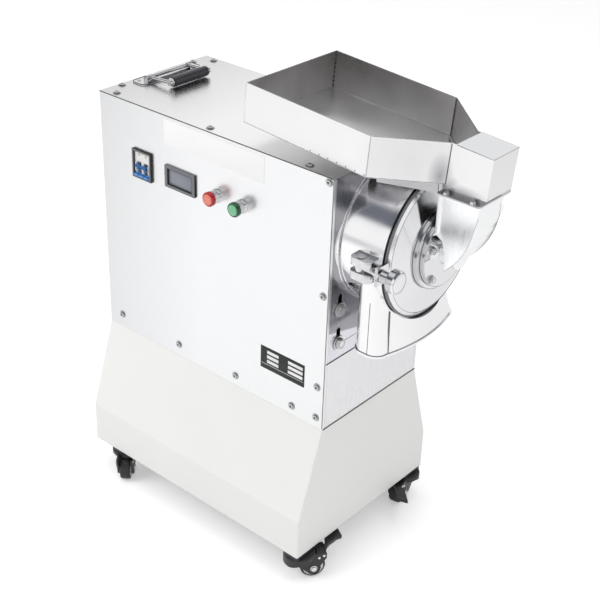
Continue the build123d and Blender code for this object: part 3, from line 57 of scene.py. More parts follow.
TRAY_END = 366.0         # length along the tray to where the spout starts
TRAY_BOTTOM = -73.2      # underside of the tray, from its top edge
SHARP_ANGLE = math.radians(40)
SOFT_ANGLE = math.radians(35)


def at(x, y, z):
    """Point in metres, in the frame of the solids."""
    return Vector(((x + SHIFT) / 1000, y / 1000, z / 1000))


TILT = math.radians(4.03)


def hopper(u, v, w):
    """Point in the tilted frame of the hopper."""
    return at(HOPPER_X + u * math.cos(TILT) + w * math.sin(TILT), v,
              HOPPER_Z - u * math.sin(TILT) + w * math.cos(TILT))


# ---- shaders -------------------------------------------------------------------------------

def add_node(tree, kind, inputs=None, **settings):
    """New shader node; each input is a value or another node's output."""
    node = tree.nodes.new(kind)
    for key, value in settings.items():
        setattr(node, key, value)
    for key, value in (inputs or {}).items():
        if isinstance(value, bpy.types.NodeSocket):
            tree.links.new(value, node.inputs[key])
        else:
            node.inputs[key].default_value = value
    return node


class Shader:
    """One procedural material: a Principled shader and the nodes that feed it."""

    def __init__(self, name, color, roughness, metallic=0.0, **sockets):
        self.material = bpy.data.materials.new(name)
        self.material.use_nodes = True
        self.tree = self.material.node_tree
        self.main = self.tree.nodes["Principled BSDF"]
        self.color = color
        self.main.inputs["Base Color"].default_value = (*color, 1)
        self.main.inputs["Roughness"].default_value = roughness
        self.main.inputs["Metallic"].default_value = metallic
        for socket, value in sockets.items():
            self.main.inputs[socket.replace("_", " ")].default_value = value
        self.position = self.add("ShaderNodeTexCoord").outputs["Object"]
        self.normal = None

    def add(self, kind, inputs=None, **settings):
        return add_node(self.tree, kind, inputs, **settings)

    def compute(self, operation, *values):
        """Number from an operation on numbers."""
        return self.add("ShaderNodeMath", dict(enumerate(values)), operation=operation).outputs[0]

    def vectors(self, operation, *values):
        """Vector, or the number of a dot product or length, from an operation on vectors."""
        node = self.add("ShaderNodeVectorMath", dict(enumerate(values)), operation=operation)
        return node.outputs["Value" if operation in ("DOT_PRODUCT", "LENGTH") else "Vector"]

    def part(self, vector, index):
        """One component of a vector."""
        return self.add("ShaderNodeSeparateXYZ", {0: vector}).outputs[index]

    def choose(self, factor, first, second):
        """First colour where the factor is 0, second where it is 1."""
        mix = self.add("ShaderNodeMix", {0: factor, 6: first, 7: second}, data_type="RGBA")
        return mix.outputs[2]

    def scaled(self, color, level):
        """Colour times a level."""
        return self.add("ShaderNodeVectorMath", {0: color, "Scale": level},
                        operation="SCALE").outputs[0]

    def set_color(self, value):
        self.tree.links.new(value, self.main.inputs["Base Color"])

    def noise(self, scale, detail=3.0, stretch=(1, 1, 1), rough=0.5, source=None):
        place = self.add("ShaderNodeMapping", {"Vector": source or self.position, "Scale": stretch})
        texture = self.add("ShaderNodeTexNoise", {"Vector": place.outputs[0], "Scale": scale,
                                                  "Detail": detail, "Roughness": rough})
        return texture.outputs[0]

    def span(self, value, low, high, old_low=0.3, old_high=0.7):
        node = self.add("ShaderNodeMapRange", {"Value": value, "From Min": old_low,
                                               "From Max": old_high, "To Min": low, "To Max": high})
        return node.outputs[0]

    def shade(self, factor, low, high):
        """Base colour from low to high times the plain colour, by a 0..1 factor."""
        dark, light = [(*[c * k for c in self.color], 1) for k in (low, high)]
        self.set_color(self.choose(factor, dark, light))
        return self

    def fade(self, rear_shade):
        """Painted shade: the base colour is darker towards the rear end."""
        self.scale(self.span(self.part(self.position, 0), rear_shade, 1.0, -0.42, -0.12))

    def painted_reflection_edge(self):
        """Bright below a slanting line across the foot of the head plate; the dark plate above the
        line is painted dark reflection.
        """
        slope = self.vectors("DOT_PRODUCT", self.position, (0, 0.23, 1))
        self.scale(self.span(slope, 2.05, 1, 0.5085, 0.5115))

    def scale(self, level):
        """Multiply the base colour by a level."""
        source = self.main.inputs["Base Color"].links[0].from_socket
        self.set_color(self.scaled(source, level))

    def tint(self, factor, low, high):
        """Colour between two others, by a 0..1 factor."""
        return self.choose(factor, (*low, 1), (*high, 1))

    def off_axis(self, index, low, high):
        """1 where the normal has under the low share along an axis, 0 over the high one."""
        normal = self.add("ShaderNodeTexCoord").outputs["Normal"]
        return self.span(self.compute("ABSOLUTE", self.part(normal, index)), 1, 0, low, high)

    def upright(self):
        """1 on walls, 0 on faces that look up or down."""
        return self.off_axis(2, 0.5, 0.8)

    def sideways(self):
        """1 on surfaces that turn about the X axis, 0 on faces square to it."""
        return self.off_axis(0, 0.3, 0.75)

    def inward(self):
        """1 on faces of the tray that look towards its middle or up, 0 on its outside."""
        normal = self.add("ShaderNodeTexCoord").outputs["Normal"]
        reach = self.vectors("SUBTRACT", self.position, tuple(at(-60, 0, 900)))
        flat = self.vectors("MULTIPLY", reach, (1, 1, 0))
        lifted = self.vectors("SUBTRACT", flat, (0, 0, 0.4))
        return self.span(self.vectors("DOT_PRODUCT", lifted, normal), 1, 0, -0.004, 0.004)

    def painted_shade_marks(self):
        """0..1 painted shade and painted dark reflection, by how close the sheet is to the welds
        under the tray and beside the spout.
        """
        down = Vector((math.sin(TILT), 0, math.cos(TILT)))
        height = self.vectors("DOT_PRODUCT", self.position, down)
        floor = down.dot(hopper(0, 0, TRAY_BOTTOM))
        marks = self.span(height, 0.62, 0, floor - 0.0002, floor + 0.0002)
        for centre, stretch, size, peak in (((358, -44, -60), (1, 1, 0.5), 0.025, 0.85),
                                            ((374, -37, -72), (0.8, 1, 0.8), 0.018, 0.7),
                                            ((400, -37, -78), (0.3, 1, 1), 0.017, 0.9),
                                            ((322, -76, -40), (0.6, 0.6, 0.6), 0.060, 0.16)):
            reach = self.vectors("SUBTRACT", self.position, hopper(*centre))
            far = self.vectors("LENGTH", self.vectors("MULTIPLY", reach, stretch))
            marks = self.compute("MAXIMUM", marks, self.span(far, peak, 0, 0, size))
        return marks

    def rough(self, value):
        self.tree.links.new(value, self.main.inputs["Roughness"])
        return self

    def bump(self, height, strength, distance):
        inputs = {"Height": height, "Strength": strength, "Distance": distance}
        if self.normal is not None:
            inputs["Normal"] = self.normal
        self.normal = self.add("ShaderNodeBump", inputs).outputs[0]
        self.tree.links.new(self.normal, self.main.inputs["Normal"])
        return self

    def radius(self, centre, axis="X"):
        """Distance from an axis through a point, in metres."""
        keep = (0, 1, 1) if axis == "X" else (1, 0, 1) if axis == "Y" else (1, 1, 0)
        moved = self.vectors("SUBTRACT", self.position, tuple(centre))
        return self.vectors("LENGTH", self.vectors("MULTIPLY", moved, keep))


def brushed(name, color, roughness, grain_axis, contrast, cloud, depth, rear_shade=1.0, reflection_edge=False):
    """Sheet stainless: fine straight grain, faint clouding and handling marks."""
    shader = Shader(name, color, roughness, 1.0)
    stretch = {"X": (1, 60, 60), "Y": (60, 1, 60), "Z": (60, 60, 1)}[grain_axis]
    grain = shader.noise(22, 4, stretch, 0.65)
    clouds = shader.noise(5, 3)
    marks = shader.noise(60, 2, tuple(0.3 if k == 1 else 0.06 * k for k in stretch))
    tone = shader.compute("ADD", grain, clouds)
    shader.shade(shader.span(tone, 0, 1, 0.7, 1.3), 1 - contrast, 1.0)
    level = shader.compute("ADD", marks, clouds)
    shader.rough(shader.span(level, roughness - cloud, roughness + cloud, 0.7, 1.3))
    # Painted shade: darker base colour towards the rear end of the sheet.
    if rear_shade < 1:
        shader.fade(rear_shade)
    # Painted reflection: the base colour is doubled below a slanting line, and the plate above it
    # stays dark as painted dark reflection.
    if reflection_edge:
        shader.painted_reflection_edge()
    return shader.bump(grain, depth, 0.0004).material


SHADE_DARK = (0.22, 0.22, 0.235)
SHADE_PALE = (0.42, 0.42, 0.43)


def hopper_sheet(name, color, roughness):
    """Satin sheet folded into a tray; the inside walls are painted shade, darker and slightly
    warmer than the inside floor and lighter towards the spout, with painted shade below the tray
    and near the spout welds.
    """
    shader = Shader(name, color, roughness, 1.0)
    inward = shader.inward()
    grain = shader.noise(22, 4, (1, 40, 40), 0.6)
    stain = shader.noise(9, 4)
    # Painted shade: the inside walls are much darker than the inside floor and lighter towards the
    # spout end.
    shaded_wall = shader.tint(shader.span(stain, 0, 1), (0.50, 0.485, 0.475), (0.70, 0.685, 0.68))
    level = shader.span(shader.part(shader.position, 0), 0.84, 1.16, hopper(0, 0, 0).x,
                        hopper(TRAY_END, 0, 0).x)
    shaded_wall = shader.scaled(shaded_wall, level)
    floor = shader.tint(shader.span(stain, 0, 1), (0.86, 0.86, 0.86), (0.95, 0.95, 0.95))
    outer = shader.tint(shader.span(stain, 0, 1), [c * 0.98 for c in color], color)
    inside = shader.choose(shader.upright(), floor, shaded_wall)
    both = shader.choose(inward, outer, inside)
    # Painted shade: dark grey below the tray and as painted dark reflections beside the spout.
    painted_dark = shader.tint(shader.span(stain, 0, 1), SHADE_DARK, SHADE_PALE)
    shader.set_color(shader.choose(shader.painted_shade_marks(), both, painted_dark))
    shader.rough(shader.span(stain, roughness - 0.04, roughness + 0.06))
    return shader.bump(grain, 0.05, 0.0003).material


def turned_metal(name, color, roughness, centre, axis="X", side=1.0):
    """Metal finished on a lathe: rings around the axis under faint smudges, with painted shade
    darkening its sides.
    """
    shader = Shader(name, color, roughness, 1.0)
    distance = shader.radius(centre, axis)
    rings = shader.add("ShaderNodeCombineXYZ", {"X": distance}).outputs[0]
    grain = shader.noise(900, 3, source=rings)
    smudge = shader.noise(14, 4)
    shader.shade(shader.span(grain, 0, 1), 0.90, 1.0)
    # Painted shade: surfaces that turn about the axis get a darker base colour than faces square to
    # it.
    if side < 1:
        shader.scale(shader.span(shader.sideways(), 1.0, side, 0, 1))
    shader.rough(shader.span(smudge, roughness - 0.05, roughness + 0.09))
    return shader.bump(grain, 0.10, 0.0003).material


def plastic(name, color, roughness, grain=900, depth=0.0001, coat=0.0, low=0.88, high=1.06):
    """Moulded plastic with a fine grain and slightly uneven gloss."""
    shader = Shader(name, color, roughness, 0.0, Coat_Weight=coat)
    fine = shader.noise(grain, 2)
    wide = shader.noise(25, 3)
    shader.shade(shader.span(wide, 0, 1), low, high)
    shader.rough(shader.span(wide, roughness - 0.06, roughness + 0.08))
    return shader.bump(fine, 0.25, depth).material


def small_metal(name, color, roughness):
    """Plated or machined small parts: patchy plating with fine scratches."""
    shader = Shader(name, color, roughness, 1.0)
    patch = shader.noise(120, 4)
    scratch = shader.noise(700, 2, (1, 0.1, 0.1))
    shader.shade(shader.span(patch, 0, 1), 0.82, 1.0)
    shader.rough(shader.span(patch, roughness - 0.06, roughness + 0.1))
    return shader.bump(scratch, 0.15, 0.0002).material


def paint(name, color):
    """Powder coat: orange peel, faint unevenness and a soft gloss."""
    shader = Shader(name, color, 0.42, 0.0, Specular_IOR_Level=0.45)
    peel = shader.noise(420, 2)
    wide = shader.noise(4, 3)
    shader.shade(shader.span(wide, 0, 1), 0.975, 1.0)
    shader.rough(shader.span(wide, 0.36, 0.48))
    return shader.bump(peel, 0.18, 0.0003).material


def lens(name, color):
    """Translucent moulded lens lit from within by what passes through."""
    shader = Shader(name, color, 0.18, 0.0, Coat_Weight=0.5, Subsurface_Weight=0.6,
                    Subsurface_Scale=0.006, Subsurface_Radius=(1.0, 0.6, 0.6))
    wide = shader.noise(160, 2)
    shader.shade(shader.span(wide, 0, 1), 0.92, 1.05)
    return shader.bump(shader.noise(500, 2), 0.08, 0.0002).material


PIN = at(66, *KNOB)
DRUM = at(0, 0, AXIS_Z)
M = {
    # Painted light and shade: these stainless copies get base colours set part by part to how light
    # or dark each part looks, lighter on the elbow, chute and drum and darker on the upright
    # panels, the hopper cover and most of all the head plate.
    "sheet": brushed("stainless_sheet", (0.87, 0.875, 0.88), 0.30, "X", 0.015, 0.02, 0.008, 0.85),
    "elbow": brushed("stainless_elbow", (0.98, 0.985, 0.99), 0.24, "Z", 0.02, 0.06, 0.02),
    "cover": brushed("stainless_cover", (0.76, 0.77, 0.78), 0.22, "X", 0.04, 0.05, 0.03),
    "sheet_up": brushed("stainless_upright", (0.83, 0.83, 0.84), 0.28, "Z", 0.03, 0.05, 0.03),
    "top": brushed("stainless_top", (0.90, 0.90, 0.90), 0.24, "X", 0.03, 0.04, 0.012, 0.71),
    # The head plate's dark base colour is painted dark reflection, doubled back to the sheet's tone
    # below a slanting line.
    "head": brushed("stainless_head_plate", (0.42, 0.415, 0.44), 0.20, "Z", 0.25, 0.08, 0.06,
                    reflection_edge=True),
    "tray": hopper_sheet("stainless_tray", (0.88, 0.88, 0.885), 0.30),
    "chute": brushed("stainless_chute", (0.92, 0.92, 0.925), 0.20, "Z", 0.06, 0.06, 0.04),
    "turned": turned_metal("turned_stainless", (0.86, 0.86, 0.87), 0.10, DRUM, "X", 0.72),
    "drum": turned_metal("polished_drum", (0.95, 0.95, 0.96), 0.12, DRUM),
    "knob": turned_metal("polished_knob", (0.90, 0.90, 0.91), 0.10, PIN, "X", 0.66),
    "polished": small_metal("polished_steel", (0.76, 0.76, 0.77), 0.14),
    "zinc": small_metal("zinc_plate", (0.66, 0.67, 0.68), 0.26),
    "bolt": small_metal("zinc_bolts", (0.88, 0.88, 0.88), 0.40),
    "steel": small_metal("machined_steel", (0.45, 0.45, 0.46), 0.32),
    "plated": small_metal("bright_plating", (0.74, 0.74, 0.75), 0.12),
    "cast": small_metal("cast_grey", (0.18, 0.185, 0.19), 0.5),
    "weld": small_metal("weld_bead", (0.50, 0.50, 0.51), 0.24),
    "seam": small_metal("dark_seam_and_painted_shadow", (0.16, 0.155, 0.15), 0.4),
    "groove": small_metal("painted_edge_shade", (0.22, 0.225, 0.24), 0.3),
    "bright": small_metal("bright_fastener", (0.86, 0.86, 0.87), 0.16),
    "paint": paint("white_powder_coat", (0.86, 0.86, 0.835)),
    "nylon": plastic("black_nylon", (0.022, 0.022, 0.024), 0.38, 700),
    "tyre": plastic("wheel_tread", (0.018, 0.018, 0.019), 0.48, 500),
    "hub": plastic("wheel_hub", (0.74, 0.74, 0.75), 0.30, 600),
    "rubber": plastic("black_rubber", (0.022, 0.022, 0.03), 0.30, 1200, 0.0001),
    "dark": plastic("dark_grey_plastic", (0.075, 0.078, 0.085), 0.40),
    "bezel": plastic("grey_bezel", (0.16, 0.165, 0.175), 0.36),
    "black": plastic("black_recess", (0.01, 0.01, 0.011), 0.5),
    "screen": plastic("meter_screen", (0.19, 0.205, 0.245), 0.26, 300, 0.00002, 0.6),
    "white": plastic("white_plastic", (0.80, 0.80, 0.79), 0.30, 700, 0.0001, 0.2),
    "sky": plastic("painted_blue_highlight", (0.16, 0.42, 0.85), 0.3, 700, 0.0001, 0.3),
    "beige": plastic("beige_plastic", (0.62, 0.55, 0.42), 0.4),
    "blue": plastic("blue_plastic", (0.035, 0.16, 0.44), 0.28, 700, 0.0001, 0.3),
    "navy": plastic("navy_plastic", (0.03, 0.12, 0.32), 0.36, 700, 0.0001, 0.1),
    "label": plastic("blank_label", (0.92, 0.92, 0.92), 0.40, 400, 0.00003, 0.0, 0.98, 1.0),
    "plate": plastic("rating_plate", (0.006, 0.011, 0.010), 0.5, 600, 0.00004),
    "field": plastic("blank_fields", (0.80, 0.80, 0.80), 0.4, 600, 0.00004),
    "red_ring": lens("red_ring", (0.40, 0.004, 0.010)),
    "red_lens": lens("red_lens", (0.80, 0.22, 0.15)),
    "green_ring": lens("green_ring", (0.006, 0.07, 0.028)),
    "green_lens": lens("green_lens", (0.18, 0.50, 0.28)),
    "motor": plastic("motor_paint", (0.25, 0.27, 0.29), 0.45),
}

NODE_MATERIALS = {
    "sheet": ["front_panel", "back_panel"],
    "cover": ["hopper_cover"],
    "elbow": ["feed_elbow"],
    "top": ["top_panel"],
    "sheet_up": ["rear_panel", "lower_end_panel"],
    "head": ["head_plate"],
    "tray": ["hopper_tray"],
    "chute": ["discharge_chute", "discharge_screen"],
    "turned": ["door_disc", "feed_hub"],
    "drum": ["drum_shell"],
    "knob": ["clamp_knob"],
    "polished": ["clamp_lug", "clamp_bolt", "hinge_bracket", "pivot_pins"],
    "zinc": ["panel_screws"],
    "bolt": ["head_bolts", "door_bolts"],
    "plated": ["handle_plate", "handle_arms", "button_bodies"],
    "steel": ["main_shaft", "rotor_disc", "hammers", "shaft_bearings", "motor_shaft", "base_floor",
              "inner_frame"],
    "cast": ["grinding_liner", "driven_pulley", "drive_pulley", "bearing_housing"],
    "motor": ["motor_housing"],
    "paint": ["base_shell"],
    "rubber": ["door_gasket", "handle_grip", "drive_belts"],
    "nylon": [name for name in nodes if name.startswith("caster_")] + ["cable_gland"],
    "dark": ["breaker_frame"],
    "bezel": ["panel_meter"],
    "white": ["breaker_body"],
    "navy": ["breaker_toggle"],
    "red_lens": ["stop_button"],
    "green_lens": ["start_button"],
    "label": ["blank_plates"],
}
for key, names in NODE_MATERIALS.items():
    for name in names:
        for place in nodes[name].material_slots:
            place.material = M[key]


# ---- meshes --------------------------------------------------------------------------------

def piece(name, mesh, material, body, replaces=()):
    """Turn a bmesh into a piece of the model that rides on a body."""
    data = bpy.data.meshes.new(name)
    bmesh.ops.recalc_face_normals(mesh, faces=mesh.faces)
    mesh.to_mesh(data)
    mesh.free()
    data.materials.append(M[material])
    made = bpy.data.objects.new(name, data)
    bpy.context.scene.collection.objects.link(made)
    data.shade_smooth()
    data.set_sharp_from_angle(angle=SHARP_ANGLE)
    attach(made, body)
    if replaces:
        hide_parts(*replaces)
    return made


def bevelled_box(low, high, bevel, segments=3, into=None):
    """Box between two points in metres with rounded edges."""
    mesh = into or bmesh.new()
    low, high = Vector(low), Vector(high)
    made = bmesh.ops.create_cube(mesh, size=1.0)
    for vertex in made["verts"]:
        for k in range(3):
            vertex.co[k] = (low[k] + high[k]) / 2 + vertex.co[k] * (high[k] - low[k])
    edges = {edge for vertex in made["verts"] for edge in vertex.link_edges}
    bmesh.ops.bevel(mesh, geom=list(edges), offset=bevel, segments=segments, affect="EDGES",
                    profile=0.5, clamp_overlap=True)
    return mesh


def panel_box(x0, x1, z0, z1, near, far, bevel, into=None):
    """Bevelled box on the control panel; near and far are how far it stands off the sheet."""
    return bevelled_box(at(x0, PANEL_Y - far, z0), at(x1, PANEL_Y - near, z1), bevel / 1000,
                        into=into)


def spun(profile, place, segments=96, into=None):
    """Solid turned from (reach, radius) points in mm around the local X axis of a placement."""
    mesh = into or bmesh.new()
    rings = []
    for reach, radius in profile:
        if radius < 1e-6:
            rings.append([mesh.verts.new(place @ Vector((reach / 1000, 0, 0)))])
            continue
        ring = []
        for step in range(segments):
            angle = 2 * math.pi * step / segments
            point = Vector((reach, radius * math.cos(angle), radius * math.sin(angle))) / 1000
            ring.append(mesh.verts.new(place @ point))
        rings.append(ring)
    for first, second in zip(rings, rings[1:]):
        for step in range(segments):
            after = (step + 1) % segments
            corners = [first[step % len(first)], first[after % len(first)],
                       second[after % len(second)], second[step % len(second)]]
            unique = list(dict.fromkeys(corners))
            if len(unique) > 2:
                mesh.faces.new(unique)
    return mesh


def along(origin, direction):
    """Placement whose local X axis points in a direction."""
    turn = Vector(direction).normalized().to_track_quat("X", "Z").to_matrix().to_4x4()
    return Matrix.Translation(origin) @ turn


def tube(points, radius, sides=10, closed=False, into=None):
    """Bead that follows a line of points in metres."""
    mesh = into or bmesh.new()
    count = len(points)
    rings = []
    for number, point in enumerate(points):
        before = points[(number - 1) % count] if closed or number else point
        after = points[(number + 1) % count] if closed or number < count - 1 else point
        place = along(point, after - before)
        ring = []
        for step in range(sides):
            angle = 2 * math.pi * step / sides
            offset = Vector((0, radius * math.cos(angle), radius * math.sin(angle)))
            ring.append(mesh.verts.new(place @ offset))
        rings.append(ring)
    pairs = list(zip(rings, rings[1:])) + ([(rings[-1], rings[0])] if closed else [])
    for first, second in pairs:
        for step in range(sides):
            after = (step + 1) % sides
            mesh.faces.new((first[step], first[after], second[after], second[step]))
    if not closed:
        mesh.faces.new(rings[0])
        mesh.faces.new(rings[-1])
    return mesh


def drum_ring(x, radius, steps=120):
    """Points of a ring about the drum's axis."""
    angles = [math.radians(360.0 * step / steps) for step in range(steps)]
    return [at(x, radius * math.cos(angle), AXIS_Z + radius * math.sin(angle))
            for angle in angles]


def bead_ring(x, y, z, radius, width, into=None, axis=(1, 0, 0), steps=48):
    """Thin bead around an axis through a point in mm."""
    place = along(at(x, y, z), axis)
    points = []
    for step in range(steps):
        angle = 2 * math.pi * step / steps
        offset = Vector((0, radius * math.cos(angle), radius * math.sin(angle))) / 1000
        points.append(place @ offset)
    return tube(points, width / 1000, 6, True, into)


def arc(first, middle, last, steps=24):
    """Points in (x, z) on the circle through three points."""
    (ax, az), (bx, bz), (cx, cz) = first, middle, last
    turn = 2 * (ax * (bz - cz) + bx * (cz - az) + cx * (az - bz))
    squares = [x * x + z * z for x, z in (first, middle, last)]
    x = (squares[0] * (bz - cz) + squares[1] * (cz - az) + squares[2] * (az - bz)) / turn
    z = (squares[0] * (cx - bx) + squares[1] * (ax - cx) + squares[2] * (bx - ax)) / turn
    radius = math.hypot(ax - x, az - z)
    start, end = math.atan2(az - z, ax - x), math.atan2(cz - z, cx - x)
    angles = [start + (end - start) * step / steps for step in range(steps + 1)]
    return [(x + radius * math.cos(angle), z + radius * math.sin(angle)) for angle in angles]


def rounded_loop(x0, x1, y0, y1, radius, z):
    """Points around a rectangle with round corners, level at a height."""
    points = []
    for x, y, turn in ((x1, y1, 0), (x0, y1, 90), (x0, y0, 180), (x1, y0, 270)):
        middle_x = x - radius if x == x1 else x + radius
        middle_y = y - radius if y == y1 else y + radius
        for step in range(7):
            angle = math.radians(turn + 15 * step)
            points.append(at(middle_x + radius * math.cos(angle),
                             middle_y + radius * math.sin(angle), z))
    return points


# ---- soft edges on the sheet-metal and plastic solids ----------------------------------------

EDGE_RADII = {
    "base_shell": 2.0, "front_panel": 0.4, "back_panel": 0.4, "top_panel": 0.4, "rear_panel": 0.4,
    "lower_end_panel": 0.4, "head_plate": 0.6, "clamp_lug": 0.8, "feed_elbow": 0.5,
    "hopper_cover": 0.4, "hinge_bracket": 0.8, "breaker_toggle": 0.5,
}
for name, radius in EDGE_RADII.items():
    weld = nodes[name].modifiers.new("weld", "WELD")
    weld.merge_threshold = 0.00001
    soften = nodes[name].modifiers.new("soften", "BEVEL")
    soften.width = radius / 1000
    soften.segments = 2
    soften.limit_method = "ANGLE"
    soften.angle_limit = SOFT_ANGLE
    soften.harden_normals = True

# ---- label strip and rating plate --------------------------------------------------------------

piece("label_strip", panel_box(-398, -153, 781.5, 831.5, 0, 0.5, 0.2), "label", "cabinet",
      ["blank_plates"])
piece("rating_plate", panel_box(-153, -47, 411, 458, 0, 0.6, 0.25), "plate", "cabinet")
fields = bmesh.new()
for row in range(3):
    top = 452.0 - 10.0 * row
    panel_box(-137, -109, top - 6.5, top, 0.5, 0.75, 0.1, fields)
    panel_box(-86, -51, top - 6.5, top, 0.5, 0.75, 0.1, fields)
panel_box(-151, -49, 421.2, 422.0, 0.5, 0.75, 0.1, fields)
piece("rating_plate_fields", fields, "field", "cabinet")

# ---- breaker and meter ---------------------------------------------------------------------

def breaker_box(x0, x1, z0, z1, near, far, bevel, into=None):
    """Bevelled box on the breaker, placed from the middle of its face."""
    return panel_box(BREAKER_X + x0, BREAKER_X + x1, CONTROL_Z + z0, CONTROL_Z + z1, near, far,
                     bevel, into)


bezel = bmesh.new()
for x0, x1, z0, z1 in ((-25, -20.6, -28.7, 28.7), (21.4, 25, -28.7, 28.7),
                       (-21.0, 22.0, 24.6, 28.7), (-21.0, 22.0, -28.7, -25.6)):
    breaker_box(x0, x1, z0, z1, 0, 4.8, 0.5, bezel)
piece("breaker_bezel", bezel, "black", "cabinet", ["breaker_frame"])
front = bmesh.new()
for x0, x1, z0, z1 in ((-24.6, -20.9, -28.2, 28.2), (21.7, 24.4, -28.2, 28.2),
                       (-21.2, 22.0, 25.2, 28.2), (-21.2, 22.0, -28.2, -26.2)):
    breaker_box(x0, x1, z0, z1, 4.6, 5.2, 0.2, front)
piece("breaker_front", front, "bezel", "cabinet")
face = bmesh.new()
for x0, x1, z0, z1 in ((-22.4, -20.4, -26.1, 26.1), (20.4, 22.4, -26.1, 26.1),
                       (-20.5, 20.5, 24.2, 26.1), (-20.5, 20.5, -26.1, -24.2)):
    breaker_box(x0, x1, z0, z1, 0, 1.1, 0.2, face)
piece("breaker_face", face, "white", "cabinet")
cover = breaker_box(-20.4, 21.2, -25.4, -20.0, 0.9, 6.0, 1.0)
breaker_box(-20.4, 21.2, -20.6, -17.5, 0.9, 2.6, 0.5, cover)
piece("breaker_blue_cover", cover, "blue", "cabinet")
# Painted highlights: light-blue streaks along the edges of the blue cover's steps.
highlight_streaks = bmesh.new()
for x in (-14.0, 0.0, 13.0):
    breaker_box(x - 5.0, x + 3.4, -22.8, -21.2, 5.8, 6.25, 0.2, highlight_streaks)
    breaker_box(x - 5.0, x + 3.4, -19.5, -18.2, 2.4, 2.85, 0.2, highlight_streaks)
piece("breaker_painted_highlights", highlight_streaks, "sky", "cabinet")
ribs = breaker_box(-2.4, 2.4, -14.8, 1.5, 0.9, 2.4, 0.6)
breaker_box(-18.2, -15.4, -14.8, 1.5, 0.9, 3.6, 0.8, ribs)
breaker_box(15.4, 18.2, -14.8, 1.5, 0.9, 3.6, 0.8, ribs)
piece("breaker_ribs", ribs, "white", "cabinet")
terminals = bmesh.new()
for x in (-9.0, 9.0):
    spun([(0.9, 0), (0.9, 3.2), (1.3, 3.0), (1.5, 2.2), (1.5, 0)],
         along(at(BREAKER_X + x, PANEL_Y, CONTROL_Z + 18.5), (0, -1, 0)), 24, terminals)
piece("breaker_terminals", terminals, "beige", "cabinet")

window = panel_box(-388.3, -324.7, 705.7, 738.3, -1.9, 0.6, 0.3)
piece("meter_screen", window, "screen", "cabinet")
liner = bmesh.new()
for x0, x1, z0, z1 in ((-388.4, -387.2, 705.6, 738.4), (-325.8, -324.6, 705.6, 738.4),
                       (-388.4, -324.6, 705.6, 706.8), (-388.4, -324.6, 737.2, 738.4)):
    panel_box(x0, x1, z0, z1, -1.9, 3.5, 0.2, liner)
piece("meter_recess", liner, "black", "cabinet")
rim = bmesh.new()
for x0, x1, z0, z1 in ((-395.0, -393.6, 700.3, 743.7), (-319.4, -318.0, 700.3, 743.7),
                       (-393.6, -319.4, 700.3, 701.7), (-393.6, -319.4, 742.3, 743.7)):
    panel_box(x0, x1, z0, z1, 0.1, 3.2, 0.2, rim)
piece("meter_edge", rim, "black", "cabinet")

# ---- push buttons --------------------------------------------------------------------------

BUTTONS = {"stop": (-265.0, "red"), "start": (-204.0, "green")}
barrels = bmesh.new()
for which, (x, tint) in BUTTONS.items():
    place = along(at(x, PANEL_Y, CONTROL_Z), (0, -1, 0))
    spun([(-33, 10.9), (-6, 10.9), (-5.6, 14.4), (-1.6, 14.4), (-1.4, 11), (0, 11), (0, 13.6),
          (1.0, 13.6), (1.5, 12.9), (4.2, 12.5), (4.6, 12.1), (9.6, 12.1), (10.1, 12.5),
          (16.0, 12.5), (16.0, 10.7), (10.2, 10.7), (10.2, 5.1), (-33, 5.1), (-33, 10.9)],
         place, 64, barrels)
    collar = spun([(16.0, 10.65), (16.0, 13.0), (16.6, 13.6), (22.4, 13.6), (23.6, 13.1),
                   (24.4, 12.2), (24.4, 11.3), (23.9, 10.65), (16.0, 10.65)], place, 64)
    piece(which + "_ring", collar, tint + "_ring", "cabinet")
    cap = spun([(15.2, 0), (15.2, 10.35), (24.6, 10.35), (25.5, 9.7), (25.8, 8.6), (25.5, 7.7),
                (25.8, 6.9), (25.9, 5.2), (25.6, 4.3), (25.9, 3.4), (25.9, 0)], place, 64)
    spun([(-30, 0), (-30, 4.95), (15.2, 4.95), (15.2, 0)], place, 24, cap)
    piece(which + "_lens", cap, tint + "_lens", which, [which + "_button"])
piece("button_barrels", barrels, "plated", "cabinet", ["button_bodies"])


# ---- caster wheels -------------------------------------------------------------------------

